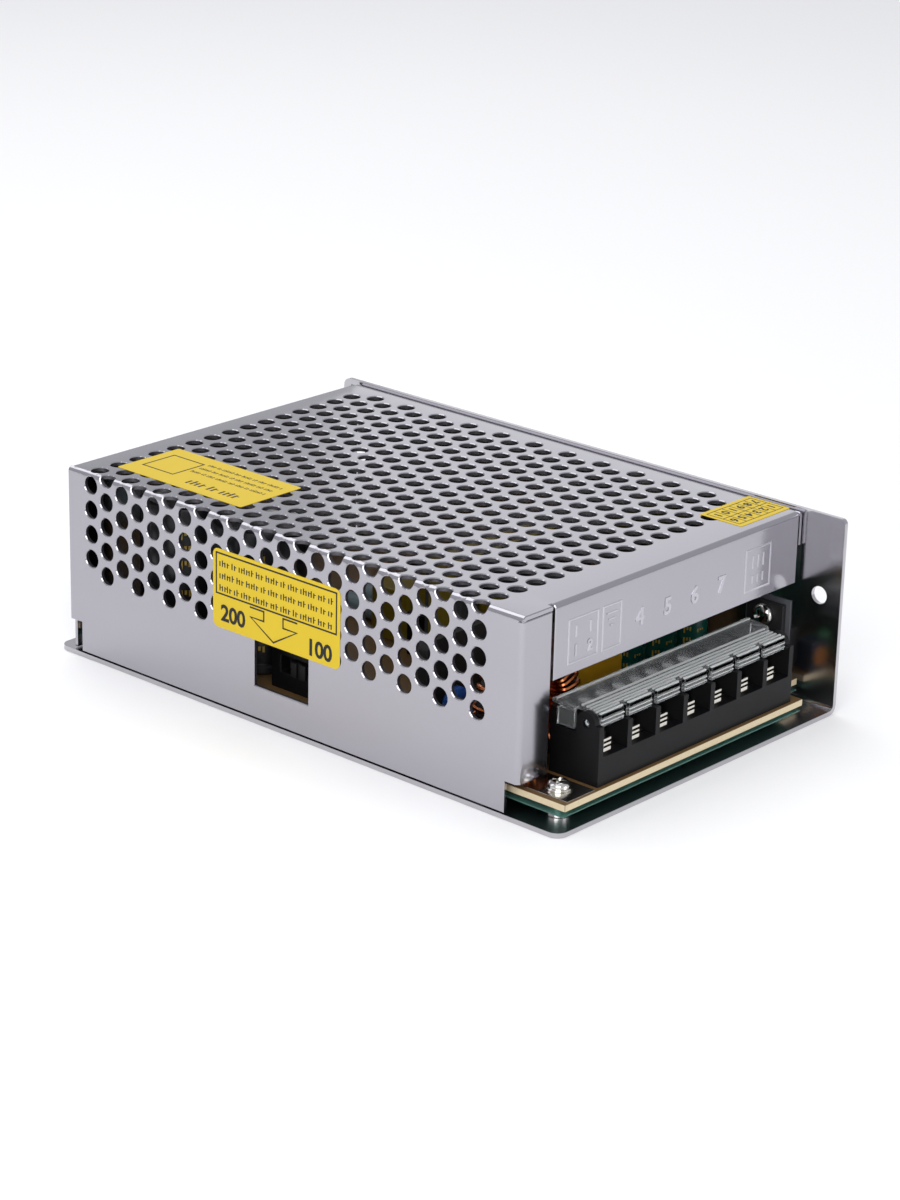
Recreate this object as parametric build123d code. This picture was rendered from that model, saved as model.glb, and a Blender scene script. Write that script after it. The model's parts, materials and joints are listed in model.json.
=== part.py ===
from build123d import *
import math
import os

# Everything is in millimetres. The terminal end faces -Y, the length runs along Y, +Z is up and the
# origin is the centre of the footprint, on the underside of the floor.

# Case: a floor and one side wall folded from one sheet, under a perforated cover
case_length = 155.0
case_width = 98.0
case_height = 47.0
chassis_sheet = 1.2
chassis_bend = 2.4
floor_corner = 5.0
wall_front_corner = 1.2
wall_back_corner = 6.0
seat_gap = 0.3
tab_length = 14.0
tab_height = 7.0
tab_spacing = 96.0

# Cover
cover_sheet = 1.0
cover_bend = 1.6
cover_front_setback = 11.5
cover_back_setback = 4.3
cover_step = 0.5
flange_drop = 17.0
flange_end_gap = 1.3
return_width = 9.5
return_slit = 1.0
return_relief = 0.3
side_lip = 8.0
notch_length = 3.8
notch_height = 8.7

# Perforation: staggered holes, drawn square to keep the number of faces down
hole_pitch = 6.0
hole_size = 4.2
hole_sides = 4
hole_columns = 24
first_column_setback = 7.7
side_rows = 8
top_rows = 30

# Selector window in the cover's left wall
window_length = 16.8
window_height = 11.0
window_y = 3.7
window_bottom = 9.2

# Stickers
sticker_thickness = 0.15
sticker_corner = 2.0
side_sticker_length = 39.4
side_sticker_height = 18.7
side_sticker_y = 5.3
back_sticker_width = 19.5
back_sticker_length = 40.5
back_sticker_x = -31.8
back_sticker_y = 44.2
front_sticker_width = 17.0
front_sticker_length = 11.4
front_sticker_x = 37.5
front_sticker_y = -57.0

# Fixing holes for the user: four in the floor, two in the side wall
floor_hole = 4.2
floor_hole_across = 70.0
floor_hole_along = 117.0
wall_hole = 4.2
wall_hole_height = 27.7
wall_hole_inset = 5.8

# Circuit board on four standoffs, with an insulating film under it
board_thickness = 1.6
board_front_setback = 1.0
board_back_gap = 1.0
board_left_gap = 2.0
board_right_gap = 1.3
board_step_width = 9.5
board_step_length = 8.5
standoff_height = 4.0
standoff_radius = 2.7
standoff_neck_radius = 2.1
standoff_neck = 1.5
standoff_inset = 5.8
standoff_right_inset = 7.5
standoff_front_inset = 6.6
standoff_step_inset = 20.0
film_thickness = 0.3
film_front_setback = 0.5
film_hole_play = 0.25
board_screw_radius = 1.25
board_screw_play = 0.25
board_screw_head_radius = 2.9
board_screw_head = 1.9
earth_pad_thickness = 0.2
earth_pad_width = 9.0
earth_pad_length = 13.0
earth_pad_setback = 0.5

# Rounds of small and hidden parts are drawn with this many flat sides
round_sides = 12
small_sides = 8
lead_size = 0.8
pin_grid = 2.54

# How far a cutter runs past what it cuts
past = 0.1

# Terminal block
ways = 7
way_pitch = 9.5
divider = 1.5
block_left_inset = 14.7
block_front_setback = 2.0
block_depth = 13.5
block_sill = 6.5
block_height = 15.0
block_back_wall = 1.5
divider_round = 1.8
lug_radius = 2.6
hinge_setback = 3.8
hinge_height = 13.6
hinge_pin_radius = 0.95
hinge_play = 0.05
end_ledge = 11.0

# Contacts, wire clamps and screws of the terminals
contact_sheet = 0.8
contact_play = 0.3
contact_setback = 1.0
contact_lip = 1.6
contact_lip_length = 2.0
clamp_sheet = 1.2
clamp_reach = 3.4
clamp_rib = 0.5
clamp_rib_width = 1.0
way_screw_setback = 8.7
way_screw_radius = 1.6
way_screw_head_radius = 2.8
way_screw_head = 2.2
way_screw_play = 0.06
way_screw_reach = 3.0
way_screw_well = 4.4
way_screw_tip_gap = 0.5

# Clear lid over the terminals
lid_sheet = 1.0
lid_gap = 0.2
lid_front_setback = 0.1
lid_finger_drop = 2.4
lid_finger_gap = 0.3
lid_slit = 5.8
lid_rib = 0.6
lid_rib_width = 0.8
lid_end_drop = 3.8
lid_end_front = 3.3
lid_ear = 1.0
lid_ear_wall = 0.5

# Line filter choke, standing on its rim
choke_diameter = 26.0
choke_bore = 11.0
choke_width = 12.0
choke_wire = 1.2
choke_gap_angle = 16.0
choke_front_gap = 3.5
part_gap = 2.0

# Mains side parts along the left edge
left_margin = 2.0
fuse_length = 20.0
fuse_radius = 2.6
fuse_cap = 5.0
clip_sheet = 0.5
clip_length = 4.0
thermistor_radius = 5.5
thermistor_thickness = 4.0
ycap_radius = 4.0
ycap_thickness = 3.2
ycap_count = 2
disc_lift = 1.5
bridge_width = 20.0
bridge_depth = 4.0
bridge_height = 17.0
bridge_lift = 3.0
bridge_legs = 4

# Selector switch behind the window
selector_setback = 6.0
selector_shift = 2.4
selector_depth = 8.0
selector_length = 15.0
selector_height = 12.5
selector_slot_height = 4.0
selector_slot_depth = 3.0
slider_length = 4.6
slider_play = 0.15
slider_stand = 1.2
slider_groove = 1.0
slider_groove_depth = 0.6
slider_travel = 4.0

# Big mains capacitors
bulk_radius = 11.0
bulk_height = 34.0
bulk_count = 2
bulk_back_gap = 9.0
bulk_left_gap = 3.0
bead_depth = 0.7
bead_height = 2.2

# Centre and output side parts
xcap_width = 17.0
xcap_depth = 8.0
xcap_height = 15.5
xcap_bevel = 0.6
xcap_x = -3.8
row_front_gap = 12.0
outcap_radius = 5.2
outcap_height = 26.0
outcap_count = 3
transformer_width = 34.0
transformer_length = 33.0
transformer_height = 29.0
transformer_gap = 12.0
core_leg = 6.0
core_depth = 11.0
bobbin_flange = 1.2
bobbin_foot = 3.0
bobbin_tube = 0.8
bobbin_foot_gap = 1.0
winding_margin = 1.0
winding_round = 3.0
core_play = 0.3
tape_thickness = 0.3
tape_width = 8.0
outchoke_radius = 9.5
outchoke_bore = 4.0
outchoke_height = 10.0
driver_width = 15.0
driver_length = 13.0
driver_height = 13.0
driver_bevel = 1.0
chip_length = 9.8
chip_width = 6.4
chip_height = 3.4
chip_lift = 0.8
chip_pins = 4
smallcap_radius = 3.2
smallcap_height = 11.5
smallcap_count = 2
smallcap_gap = 6.0
resistor_length = 15.0
resistor_radius = 2.6
resistor_count = 2

# Power devices on the side wall
device_width = 10.2
device_body_height = 9.2
device_height = 15.8
device_thickness = 4.5
tab_sheet = 1.3
device_lift = 0.5
device_first_setback = 19.5
device_pitch = 25.5
device_count = 4
device_screw_height = 12.6
device_screw_radius = 1.4
device_screw_head_radius = 2.7
device_screw_head = 2.0
device_screw_play = 0.15
pad_thickness = 0.3
pad_margin = 1.2

# Trimmer and lamp beside the terminal block
trimmer_width = 6.0
trimmer_depth = 4.6
trimmer_right_gap = 3.2
trimmer_front_gap = 0.1
trimmer_height = 7.0
trimmer_radius = 2.2
trimmer_play = 0.05
trimmer_stand = 0.5
trimmer_sink = 2.0
trimmer_slot = 0.8
trimmer_slot_depth = 0.8
lamp_radius = 1.45
lamp_height = 5.0
lamp_rim = 0.3
lamp_rim_height = 1.0
lamp_stand = 3.0

# Screws that hold the cover to the side wall
cover_screw_radius = 1.4
cover_screw_head_radius = 2.6
cover_screw_head = 1.6
cover_screw_drop = 5.0
cover_screw_spacing = 58.0
cover_screw_count = 3
cover_screw_play = 0.1

# Places worked out from the sizes above
left = -case_width / 2
right = case_width / 2
front = -case_length / 2
back = case_length / 2
floor_top = chassis_sheet
wall_in = right - chassis_sheet
cover_front = front + cover_front_setback
cover_back = back - cover_back_setback
cover_top = case_height - cover_step
cover_bottom = floor_top + seat_gap
cover_right = wall_in - seat_gap
cover_in = left + cover_sheet
ceiling = cover_top - cover_sheet
flange_bottom = cover_top - flange_drop
board_under = floor_top + standoff_height
board_top = board_under + board_thickness
board_left = cover_in + board_left_gap
board_right = wall_in - board_right_gap
board_front = front + board_front_setback
board_back = cover_back - cover_sheet - board_back_gap
block_left = left + block_left_inset
block_right = block_left + ways * way_pitch + divider
block_front = front + block_front_setback
block_back = block_front + block_depth
block_top = board_top + block_height
sill = board_top + block_sill
hinge_y = block_front + hinge_setback
hinge_z = board_top + hinge_height
lid_under = block_top + lid_gap
lid_top = lid_under + lid_sheet
way_width = way_pitch - divider
way_screw_y = block_front + way_screw_setback


def brick(x0, x1, y0, y1, z0, z1):
    """A box from its low corner to its high corner."""
    middle = Pos((x0 + x1) / 2, (y0 + y1) / 2, (z0 + z1) / 2)
    return middle * Box(x1 - x0, y1 - y0, z1 - z0)


def prism(x, y, z0, z1, radius, sides=round_sides):
    """An upright round part drawn with flat sides."""
    outline = Pos(x, y, z0) * RegularPolygon(radius, sides, rotation=180 / sides)
    return extrude(outline, z1 - z0)


def prism_along_x(x0, x1, y, z, radius, sides=round_sides):
    """A round part that lies along X, drawn with flat sides."""
    outline = RegularPolygon(radius, sides, rotation=180 / sides)
    return extrude(Plane(origin=(x0, y, z), x_dir=(0, 1, 0), z_dir=(1, 0, 0)) * outline, x1 - x0)


def prism_along_y(x, y0, y1, z, radius, sides=round_sides):
    """A round part that lies along Y, drawn with flat sides."""
    outline = RegularPolygon(radius, sides, rotation=180 / sides)
    return extrude(Plane(origin=(x, y0, z), x_dir=(-1, 0, 0), z_dir=(0, 1, 0)) * outline, y1 - y0)


def rod_along_x(x0, x1, y, z, radius):
    """A true cylinder that lies along X."""
    return Plane(origin=(x0, y, z), z_dir=(1, 0, 0)) * Cylinder(
        radius, x1 - x0, align=(Align.CENTER, Align.CENTER, Align.MIN))


def clear_radius(radius, play, sides):
    """Corner radius of a flat-sided hole that a part of this radius turns in."""
    return (radius + play) / math.cos(math.pi / sides)


def group(pieces):
    """Separate solids kept together as one node."""
    return Compound(children=list(pieces))


def left_tab(y):
    """One upstand on the floor that the cover's left wall slips over."""
    x0 = cover_in + seat_gap
    return brick(x0, x0 + chassis_sheet, y - tab_length / 2, y + tab_length / 2, 0, floor_top + tab_height)


def chassis():
    """Floor and side wall, folded from one sheet."""
    corners = [(left, 0), (right, 0), (right, case_height), (wall_in, case_height),
               (wall_in, floor_top), (left, floor_top)]
    profile = make_face(Polyline(*corners, close=True))
    low = profile.vertices().sort_by_distance((right, 0, 0))[0]
    profile = fillet(low, chassis_bend)
    inner = profile.vertices().sort_by_distance((wall_in, floor_top, 0))[0]
    profile = fillet(inner, chassis_bend - chassis_sheet)
    sheet = extrude(Plane.XZ * profile, case_length / 2, both=True)
    free = sheet.edges().filter_by(Axis.Z).group_by(Axis.X)[0]
    sheet = fillet(free, floor_corner)
    upper = sheet.edges().filter_by(Axis.X).group_by(Axis.Z)[-1].sort_by(Axis.Y)
    sheet = fillet(upper[0], wall_front_corner)
    upper = sheet.edges().filter_by(Axis.X).group_by(Axis.Z)[-1].sort_by(Axis.Y)
    sheet = fillet(upper[-1], wall_back_corner)
    for y in (-tab_spacing / 2, tab_spacing / 2):
        sheet += left_tab(y)
    for x in (-floor_hole_across / 2, floor_hole_across / 2):
        for y in (-floor_hole_along / 2, floor_hole_along / 2):
            sheet -= Pos(x, y, 0) * Cylinder(floor_hole / 2, 3 * chassis_sheet)
    for y in (front + wall_hole_inset, back - wall_hole_inset):
        sheet -= rod_along_x(wall_in - past, right + past, y, wall_hole_height, wall_hole / 2)
    for y in device_places():
        sheet -= wall_bore(y, device_screw_z(), device_hole_radius())
    for y in cover_screw_places():
        sheet -= wall_bore(y, cover_screw_z(), cover_hole_radius())
    return sheet


def wall_bore(y, z, radius):
    """Cutter for a screw hole through the side wall."""
    return prism_along_x(wall_in - past, right + past, y, z, radius, small_sides)


def cover_screw_places():
    """Where the cover's screws are along the side wall."""
    first = (cover_front + cover_back - (cover_screw_count - 1) * cover_screw_spacing) / 2
    return [first + i * cover_screw_spacing for i in range(cover_screw_count)]


def cover_screw_z():
    return cover_top - cover_screw_drop


def cover_hole_radius():
    return clear_radius(cover_screw_radius, cover_screw_play, small_sides)


def under(u, v, u_middle, v_middle, u_size, v_size):
    """True where a hole lies wholly under a sticker."""
    reach = hole_size / 2
    return abs(u - u_middle) + reach < u_size / 2 and abs(v - v_middle) + reach < v_size / 2


def side_sticker_z():
    """Middle height of the side sticker, whose lower edge meets the window."""
    return window_bottom + window_height + side_sticker_height / 2


def hole_outline():
    """One perforation, flat-sided, with the area of the round hole."""
    corner = hole_size / 2 * math.sqrt(2 * math.pi / (hole_sides * math.sin(2 * math.pi / hole_sides)))
    return RegularPolygon(corner, hole_sides, rotation=180 / hole_sides)


def column_y(i):
    """Place of a column of holes, counted from the back."""
    return cover_back - first_column_setback - i * hole_pitch * math.sqrt(3) / 2


def lattice(rows):
    """Column and row numbers of a staggered pattern: odd columns also have a hole on the fold."""
    return [(i, j) for i in range(hole_columns) for j in range(rows + 1) if (i + j) % 2 == 1]


def perforation():
    """Every hole of the cover, as one cutter for the side and one for the top."""
    side = Sketch()
    for i, j in lattice(side_rows):
        y, z = column_y(i), cover_top - j * hole_pitch / 2
        if not under(y, z, side_sticker_y, side_sticker_z(), side_sticker_length, side_sticker_height):
            side += Pos(y, z) * hole_outline()
    top = Sketch()
    for i, n in lattice(top_rows):
        x, y = left + n * hole_pitch / 2, column_y(i)
        hidden = under(x, y, back_sticker_x, back_sticker_y, back_sticker_width, back_sticker_length)
        hidden = hidden or under(x, y, front_sticker_x, front_sticker_y,
                                 front_sticker_width, front_sticker_length)
        if not hidden:
            top += Pos(x, y) * hole_outline()
    side_plane = Plane(origin=(left - past, 0, 0), x_dir=(0, 1, 0), z_dir=(1, 0, 0))
    side_cut = extrude(side_plane * side, cover_sheet + 2 * past)
    top_cut = extrude(Pos(0, 0, ceiling - past) * top, cover_sheet + 2 * past)
    return side_cut, top_cut


def cover():
    """Perforated top, left wall, front flange, corner return, back wall and side lip, one sheet."""
    shell = brick(left, cover_right, cover_front, cover_back, cover_bottom - cover_bend, cover_top)
    inside = brick(cover_in, cover_right - cover_sheet, cover_front + cover_sheet,
                   cover_back - cover_sheet, cover_bottom - cover_bend, ceiling)
    shell = fillet(shell.edges().filter_by(Axis.Z) + shell.edges().group_by(Axis.Z)[-1], cover_bend)
    inner_bend = cover_bend - cover_sheet
    inside = fillet(inside.edges().filter_by(Axis.Z) + inside.edges().group_by(Axis.Z)[-1], inner_bend)
    shell -= inside
    shell -= brick(left - past, right, front, back, cover_bottom - 2 * cover_bend, cover_bottom)
    return_edge = left + return_width
    flange_start = return_edge + return_slit
    shell -= brick(return_edge, flange_start, front, cover_front + cover_bend, 0, ceiling)
    shell -= brick(flange_start, right, front, cover_front + cover_bend, 0, flange_bottom)
    shell -= brick(cover_right - flange_end_gap, right, front, cover_front + cover_bend, 0, ceiling)
    shell -= brick(cover_in + inner_bend, flange_start, front, cover_front + cover_bend,
                   ceiling - return_relief, ceiling)
    shell -= brick(cover_right - cover_bend, right, front, cover_back - cover_bend, 0, cover_top - side_lip)
    shell -= brick(left - past, flange_start, front, cover_front + notch_length, 0, notch_height)
    shell -= brick(left - past, left + notch_length, cover_back - notch_length, back, 0, notch_height)
    shell -= brick(left - past, cover_in + past, window_y - window_length / 2, window_y + window_length / 2,
                   window_bottom, window_bottom + window_height)
    for y in cover_screw_places():
        lip_in = cover_right - cover_sheet - past
        shell -= prism_along_x(lip_in, right, y, cover_screw_z(), cover_hole_radius(), small_sides)
    side_cut, top_cut = perforation()
    shell -= side_cut
    shell -= top_cut
    return shell


def cover_screws():
    """Pan-head screws from outside, through the side wall into the cover's lip."""
    screws = []
    for y in cover_screw_places():
        z = cover_screw_z()
        shank = prism_along_x(cover_right - cover_sheet, right, y, z, cover_screw_radius, small_sides)
        head = prism_along_x(right, right + cover_screw_head, y, z, cover_screw_head_radius)
        screws.append(shank + head)
    return group(screws)


def sticker(width, length):
    """A flat sticker with rounded corners, lying on the XY plane."""
    return extrude(RectangleRounded(width, length, sticker_corner), sticker_thickness)


def side_sticker():
    plane = Plane(origin=(left, side_sticker_y, side_sticker_z()), x_dir=(0, -1, 0), z_dir=(-1, 0, 0))
    return plane * sticker(side_sticker_length, side_sticker_height)


def back_sticker():
    return Pos(back_sticker_x, back_sticker_y, cover_top) * sticker(back_sticker_width, back_sticker_length)


def front_sticker():
    place = Pos(front_sticker_x, front_sticker_y, cover_top)
    return place * sticker(front_sticker_width, front_sticker_length)


def standoff_places():
    """Centres of the board's four standoffs."""
    low_x, high_x = board_left + standoff_inset, board_right - standoff_right_inset
    low_y, high_y = board_front + standoff_front_inset, board_back - standoff_inset
    return [(low_x, low_y), (low_x, high_y), (high_x, high_y), (high_x, board_front + standoff_step_inset)]


def standoffs():
    """Turned posts with a shoulder that carries the film and a neck that carries the board."""
    posts = []
    shoulder = board_under - standoff_neck
    for x, y in standoff_places():
        post = prism(x, y, floor_top, shoulder, standoff_radius)
        post += prism(x, y, shoulder, board_under, standoff_neck_radius)
        post -= prism(x, y, floor_top, board_under, board_screw_bore(), small_sides)
        posts.append(post)
    return group(posts)


def board_screw_bore():
    return clear_radius(board_screw_radius, board_screw_play, small_sides)


def board_screws():
    """Pan-head screws through the board into the standoffs; the first also holds the earth pad."""
    screws = []
    for i, (x, y) in enumerate(standoff_places()):
        seat = board_top + (earth_pad_thickness if i == 0 else 0)
        shank = prism(x, y, floor_top + film_thickness, seat, board_screw_radius, small_sides)
        head = prism(x, y, seat, seat + board_screw_head, board_screw_head_radius)
        screws.append(shank + head)
    return group(screws)


def corner_step(z0, z1):
    """Cutter for the step at the board's front right corner."""
    return brick(board_right - board_step_width, board_right + past, board_front - past,
                 board_front + board_step_length, z0 - past, z1 + past)


def insulating_film():
    """Clear film that lies on the standoffs' shoulders, under the solder side."""
    low = board_under - standoff_neck
    film = brick(board_left, board_right, board_front + film_front_setback, board_back,
                 low, low + film_thickness)
    for x, y in standoff_places():
        film -= prism(x, y, low - past, low + film_thickness + past, standoff_neck_radius + film_hole_play)
    return film - corner_step(low, low + film_thickness)


def circuit_board():
    """The board, with a step at its front right corner."""
    board = brick(board_left, board_right, board_front, board_back, board_under, board_top)
    board -= corner_step(board_under, board_top)
    for x, y in standoff_places():
        board -= prism(x, y, board_under - past, board_top + past, board_screw_bore(), small_sides)
    return board


def earth_pad():
    """Tinned plate under the front left board screw."""
    x, y = standoff_places()[0]
    y0, pad_top = board_front + earth_pad_setback, board_top + earth_pad_thickness
    half = earth_pad_width / 2
    pad = brick(x - half, x + half, y0, y0 + earth_pad_length, board_top, pad_top)
    return pad - prism(x, y, board_top - past, pad_top + past, board_screw_bore(), small_sides)


def way_middle(i):
    """Middle of one terminal way along X."""
    return block_left + divider + way_width / 2 + i * way_pitch


def terminal_block():
    """Moulded housing: a slab, a back wall, and dividers that leave each way open to the front and top."""
    block = brick(block_left, block_right, block_front, block_back, board_top, sill)
    block += brick(block_left, block_right, block_back - block_back_wall, block_back, sill, block_top)
    for i in range(1, ways):
        x0 = block_left + i * way_pitch
        wall = brick(x0, x0 + divider, block_front, block_back, sill, block_top)
        edge = wall.edges().filter_by(Axis.X).group_by(Axis.Z)[-1].sort_by(Axis.Y)[0]
        block += fillet(edge, divider_round)
    for x0 in (block_left, block_right - divider):
        block += end_wall(x0)
    half = way_screw_well / 2
    for i in range(ways):
        x = way_middle(i)
        block -= brick(x - half, x + half, way_screw_y - half, way_screw_y + half,
                       sill - way_screw_reach - way_screw_tip_gap, sill + past)
    return block


def end_wall(x0):
    """End wall with the hinge lug at the front and a low ledge behind it for the lid's end."""
    x1 = x0 + divider
    wall = brick(x0, x1, block_front, hinge_y, sill, hinge_z)
    wall += brick(x0, x1, hinge_y, hinge_y + lug_radius, sill, hinge_z)
    wall += brick(x0, x1, hinge_y + lug_radius, block_back - block_back_wall, sill, board_top + end_ledge)
    wall += rod_along_x(x0, x1, hinge_y, hinge_z, lug_radius)
    wall -= rod_along_x(x0 - past, x1 + past, hinge_y, hinge_z, hinge_pin_radius + hinge_play)
    return wall


def contacts():
    """Bent metal strips on the sill of each way, with a lip down the front and the thread for the screw."""
    strips = []
    half = way_width / 2 - contact_play
    y0, y1 = block_front + contact_setback, block_back - block_back_wall - contact_play
    top = sill + contact_sheet
    for i in range(ways):
        x = way_middle(i)
        strip = brick(x - half, x + half, y0, y1, sill, top)
        strip += brick(x - half, x - half + contact_sheet, y0, y0 + contact_lip_length,
                       sill, top + contact_lip)
        strip -= prism(x, way_screw_y, sill - past, top + past, way_screw_bore(), small_sides)
        strips.append(strip)
    return group(strips)


def way_screw_bore():
    return clear_radius(way_screw_radius, way_screw_play, small_sides)


def terminal_clamp(i):
    """Square wire clamp under one terminal screw, ribbed underneath at the front."""
    x, low = way_middle(i), sill + contact_sheet
    half = way_width / 2 - 2 * contact_play
    y0, y1 = way_screw_y - clamp_reach, block_back - block_back_wall - contact_play
    top = low + clamp_rib + clamp_sheet
    plate = brick(x - half, x + half, y0, y1, low + clamp_rib, top)
    for y in (y0, y1 - clamp_rib_width):
        plate += brick(x - half, x + half, y, y + clamp_rib_width, low, low + clamp_rib)
    return plate - prism(x, way_screw_y, low - past, top + past, way_screw_bore(), small_sides)


def terminal_screw(i):
    """One terminal screw, driven home."""
    x, seat = way_middle(i), sill + contact_sheet + clamp_rib + clamp_sheet
    shank = prism(x, way_screw_y, sill - way_screw_reach, seat, way_screw_radius, small_sides)
    head = prism(x, way_screw_y, seat, seat + way_screw_head, way_screw_head_radius)
    return shank + head


def terminal_lid():
    """Clear lid: a ribbed plate, fingers over each wire way, closed ends and the two hinge pins."""
    between = block_left + divider + lid_finger_gap, block_right - divider - lid_finger_gap
    shoulder = hinge_y + lid_end_front
    fore, rear = block_front + lid_front_setback, block_back - lid_finger_gap
    lid = brick(*between, fore, shoulder, lid_under, lid_top)
    lid += brick(block_left, block_right, shoulder, rear, lid_under, lid_top)
    lid += brick(*between, fore, fore + lid_sheet, lid_under - lid_finger_drop, lid_under)
    for y in (fore, shoulder, rear - lid_rib_width):
        lid += brick(*between, y, y + lid_rib_width, lid_top, lid_top + lid_rib)
    for x0 in (block_left, block_right - lid_sheet):
        lid += brick(x0, x0 + lid_sheet, shoulder, block_back - block_back_wall - lid_finger_gap,
                     lid_under - lid_end_drop, lid_under)
    slit = divider / 2 + lid_finger_gap
    for i in range(1, ways):
        x = block_left + i * way_pitch + divider / 2
        lid -= brick(x - slit, x + slit, block_front, block_front + lid_slit,
                     lid_under - lid_finger_drop - past, lid_top + lid_rib + past)
    reach = hinge_pin_radius + lid_ear_wall
    for x_in, x_out in ((between[0], block_left), (between[1], block_right)):
        inward = lid_ear if x_in < 0 else -lid_ear
        ear = brick(min(x_in, x_in + inward), max(x_in, x_in + inward), hinge_y - reach, hinge_y + reach,
                    hinge_z - reach, lid_under)
        low, high = min(x_in, x_out), max(x_in, x_out)
        lid += ear + rod_along_x(low, high, hinge_y, hinge_z, hinge_pin_radius)
    return lid


def ring_along_y(x, y0, y1, z, outer, inner):
    """A ring whose axis lies along Y."""
    return prism_along_y(x, y0, y1, z, outer) - prism_along_y(x, y0 - past, y1 + past, z, inner)


def choke_place():
    """Middle of the line choke: x, front, back and height of its axis."""
    x = board_left + left_margin + choke_diameter / 2
    y0 = block_back + choke_front_gap
    return x, y0, y0 + choke_width, board_top + choke_diameter / 2 * math.cos(math.pi / round_sides)


def choke_core():
    """Ferrite ring inside the windings."""
    x, y0, y1, z = choke_place()
    return ring_along_y(x, y0 + choke_wire, y1 - choke_wire, z,
                        choke_diameter / 2 - choke_wire, choke_bore / 2 + choke_wire)


def choke_windings():
    """Two copper windings round the ring, left and right, with bare core between them."""
    x, y0, y1, z = choke_place()
    coil = ring_along_y(x, y0, y1, z, choke_diameter / 2, choke_bore / 2) - choke_core()
    half = choke_diameter / 2 * math.tan(math.radians(choke_gap_angle / 2))
    return coil - brick(x - half, x + half, y0 - past, y1 + past, z - choke_diameter, z + choke_diameter)


def fuse_place():
    """Middle of the fuse across the board, its front end and the height of its axis."""
    x = board_left + left_margin + fuse_radius + clip_sheet
    y0 = choke_place()[2] + part_gap
    return x, y0, board_top + clip_sheet + fuse_radius * math.cos(math.pi / round_sides)


def fuse_glass():
    x, y0, z = fuse_place()
    return prism_along_y(x, y0 + clip_sheet, y0 + fuse_length - clip_sheet, z, fuse_radius - clip_sheet)


def fuse_caps():
    """Two plated cups over the ends of the glass."""
    x, y0, z = fuse_place()
    caps = []
    for y in (y0, y0 + fuse_length - fuse_cap):
        caps.append(prism_along_y(x, y, y + fuse_cap, z, fuse_radius) - fuse_glass())
    return group(caps)


def fuse_clips():
    """Sprung clips on the board that hold the fuse by its caps."""
    x, y0, z = fuse_place()
    clips = []
    half = fuse_radius + clip_sheet
    for y in (y0 + fuse_cap / 2, y0 + fuse_length - fuse_cap / 2):
        low, high = y - clip_length / 2, y + clip_length / 2
        clip = brick(x - half, x + half, low, high, board_top, z + fuse_radius / 2)
        clip -= brick(x - fuse_radius, x + fuse_radius, low - past, high + past,
                      board_top + clip_sheet, z + fuse_radius)
        clips.append(clip)
    return group(clips)


def disc(x, y, radius, thickness):
    """A dipped disc that stands on two leads."""
    z = board_top + disc_lift + radius
    body = prism_along_y(x, y - thickness / 2, y + thickness / 2, z, radius)
    for side in (-1, 1):
        x0 = x + side * radius / 2 - lead_size / 2
        body += brick(x0, x0 + lead_size, y - lead_size / 2, y + lead_size / 2, board_top, z - radius / 2)
    return body


def disc_column():
    """The discs' shared place across the board and the front of their row."""
    x, y0, z = fuse_place()
    return x + fuse_radius + clip_sheet + part_gap + max(thermistor_radius, ycap_radius), y0


def thermistor():
    x, y0 = disc_column()
    return disc(x, y0 + thermistor_thickness / 2, thermistor_radius, thermistor_thickness)


def y_capacitors():
    x, y0 = disc_column()
    first = y0 + thermistor_thickness + part_gap + ycap_thickness / 2
    pitch = ycap_thickness + part_gap
    return group(disc(x, first + i * pitch, ycap_radius, ycap_thickness) for i in range(ycap_count))


def bridge_rectifier():
    """Flat four-legged bridge, standing on its leads behind the discs."""
    x, y0 = disc_column()
    low_x = fuse_place()[0] + fuse_radius + clip_sheet + part_gap
    y0 += thermistor_thickness + part_gap + ycap_count * (ycap_thickness + part_gap)
    low = board_top + bridge_lift
    body = brick(low_x, low_x + bridge_width, y0, y0 + bridge_depth, low, low + bridge_height)
    corner = body.edges().filter_by(Axis.Y).group_by(Axis.Z)[-1].sort_by(Axis.X)[0]
    body = chamfer(corner, bridge_depth / 2)
    for i in range(bridge_legs):
        x = low_x + bridge_width * (i + 0.5) / bridge_legs
        y = y0 + bridge_depth / 2
        half = lead_size / 2
        body += brick(x - half, x + half, y - half, y + half, board_top, low)
    return body


def selector_box():
    """Corners of the selector switch: low x, high x, low y, high y."""
    x0 = cover_in + selector_setback
    y = window_y + selector_shift
    return x0, x0 + selector_depth, y - selector_length / 2, y + selector_length / 2


def selector_slot():
    """The slot's length and its low corner along Y and Z."""
    x0, x1, y0, y1 = selector_box()
    length = slider_length + slider_travel + 2 * slider_play
    return length, (y0 + y1 - length) / 2, board_top + (selector_height - selector_slot_height) / 2


def selector_body():
    """Black switch housing, open towards the window where the slider runs."""
    x0, x1, y0, y1 = selector_box()
    length, low_y, low_z = selector_slot()
    body = brick(x0, x1, y0, y1, board_top, board_top + selector_height)
    return body - brick(x0 - past, x0 + selector_slot_depth, low_y, low_y + length,
                        low_z, low_z + selector_slot_height)


def selector_slider():
    """Slider at the front end of its slot."""
    x0 = selector_box()[0]
    length, low_y, low_z = selector_slot()
    y0, z0 = low_y + slider_play, low_z + slider_play
    z1 = low_z + selector_slot_height - slider_play
    tip = x0 - slider_stand
    knob = brick(tip, x0 + selector_slot_depth - slider_play, y0, y0 + slider_length, z0, z1)
    groove_y = y0 + (slider_length - slider_groove) / 2
    return knob - brick(tip - past, tip + slider_groove_depth, groove_y, groove_y + slider_groove,
                        z0 - past, z1 + past)


def can(x, y, radius, height):
    """An upright electrolytic capacitor with the bead near its foot."""
    low = board_top + bead_height
    body = prism(x, y, board_top, low, radius)
    body += prism(x, y, low, low + bead_depth, radius - bead_depth)
    return body + prism(x, y, low + bead_depth, board_top + height, radius)


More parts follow.
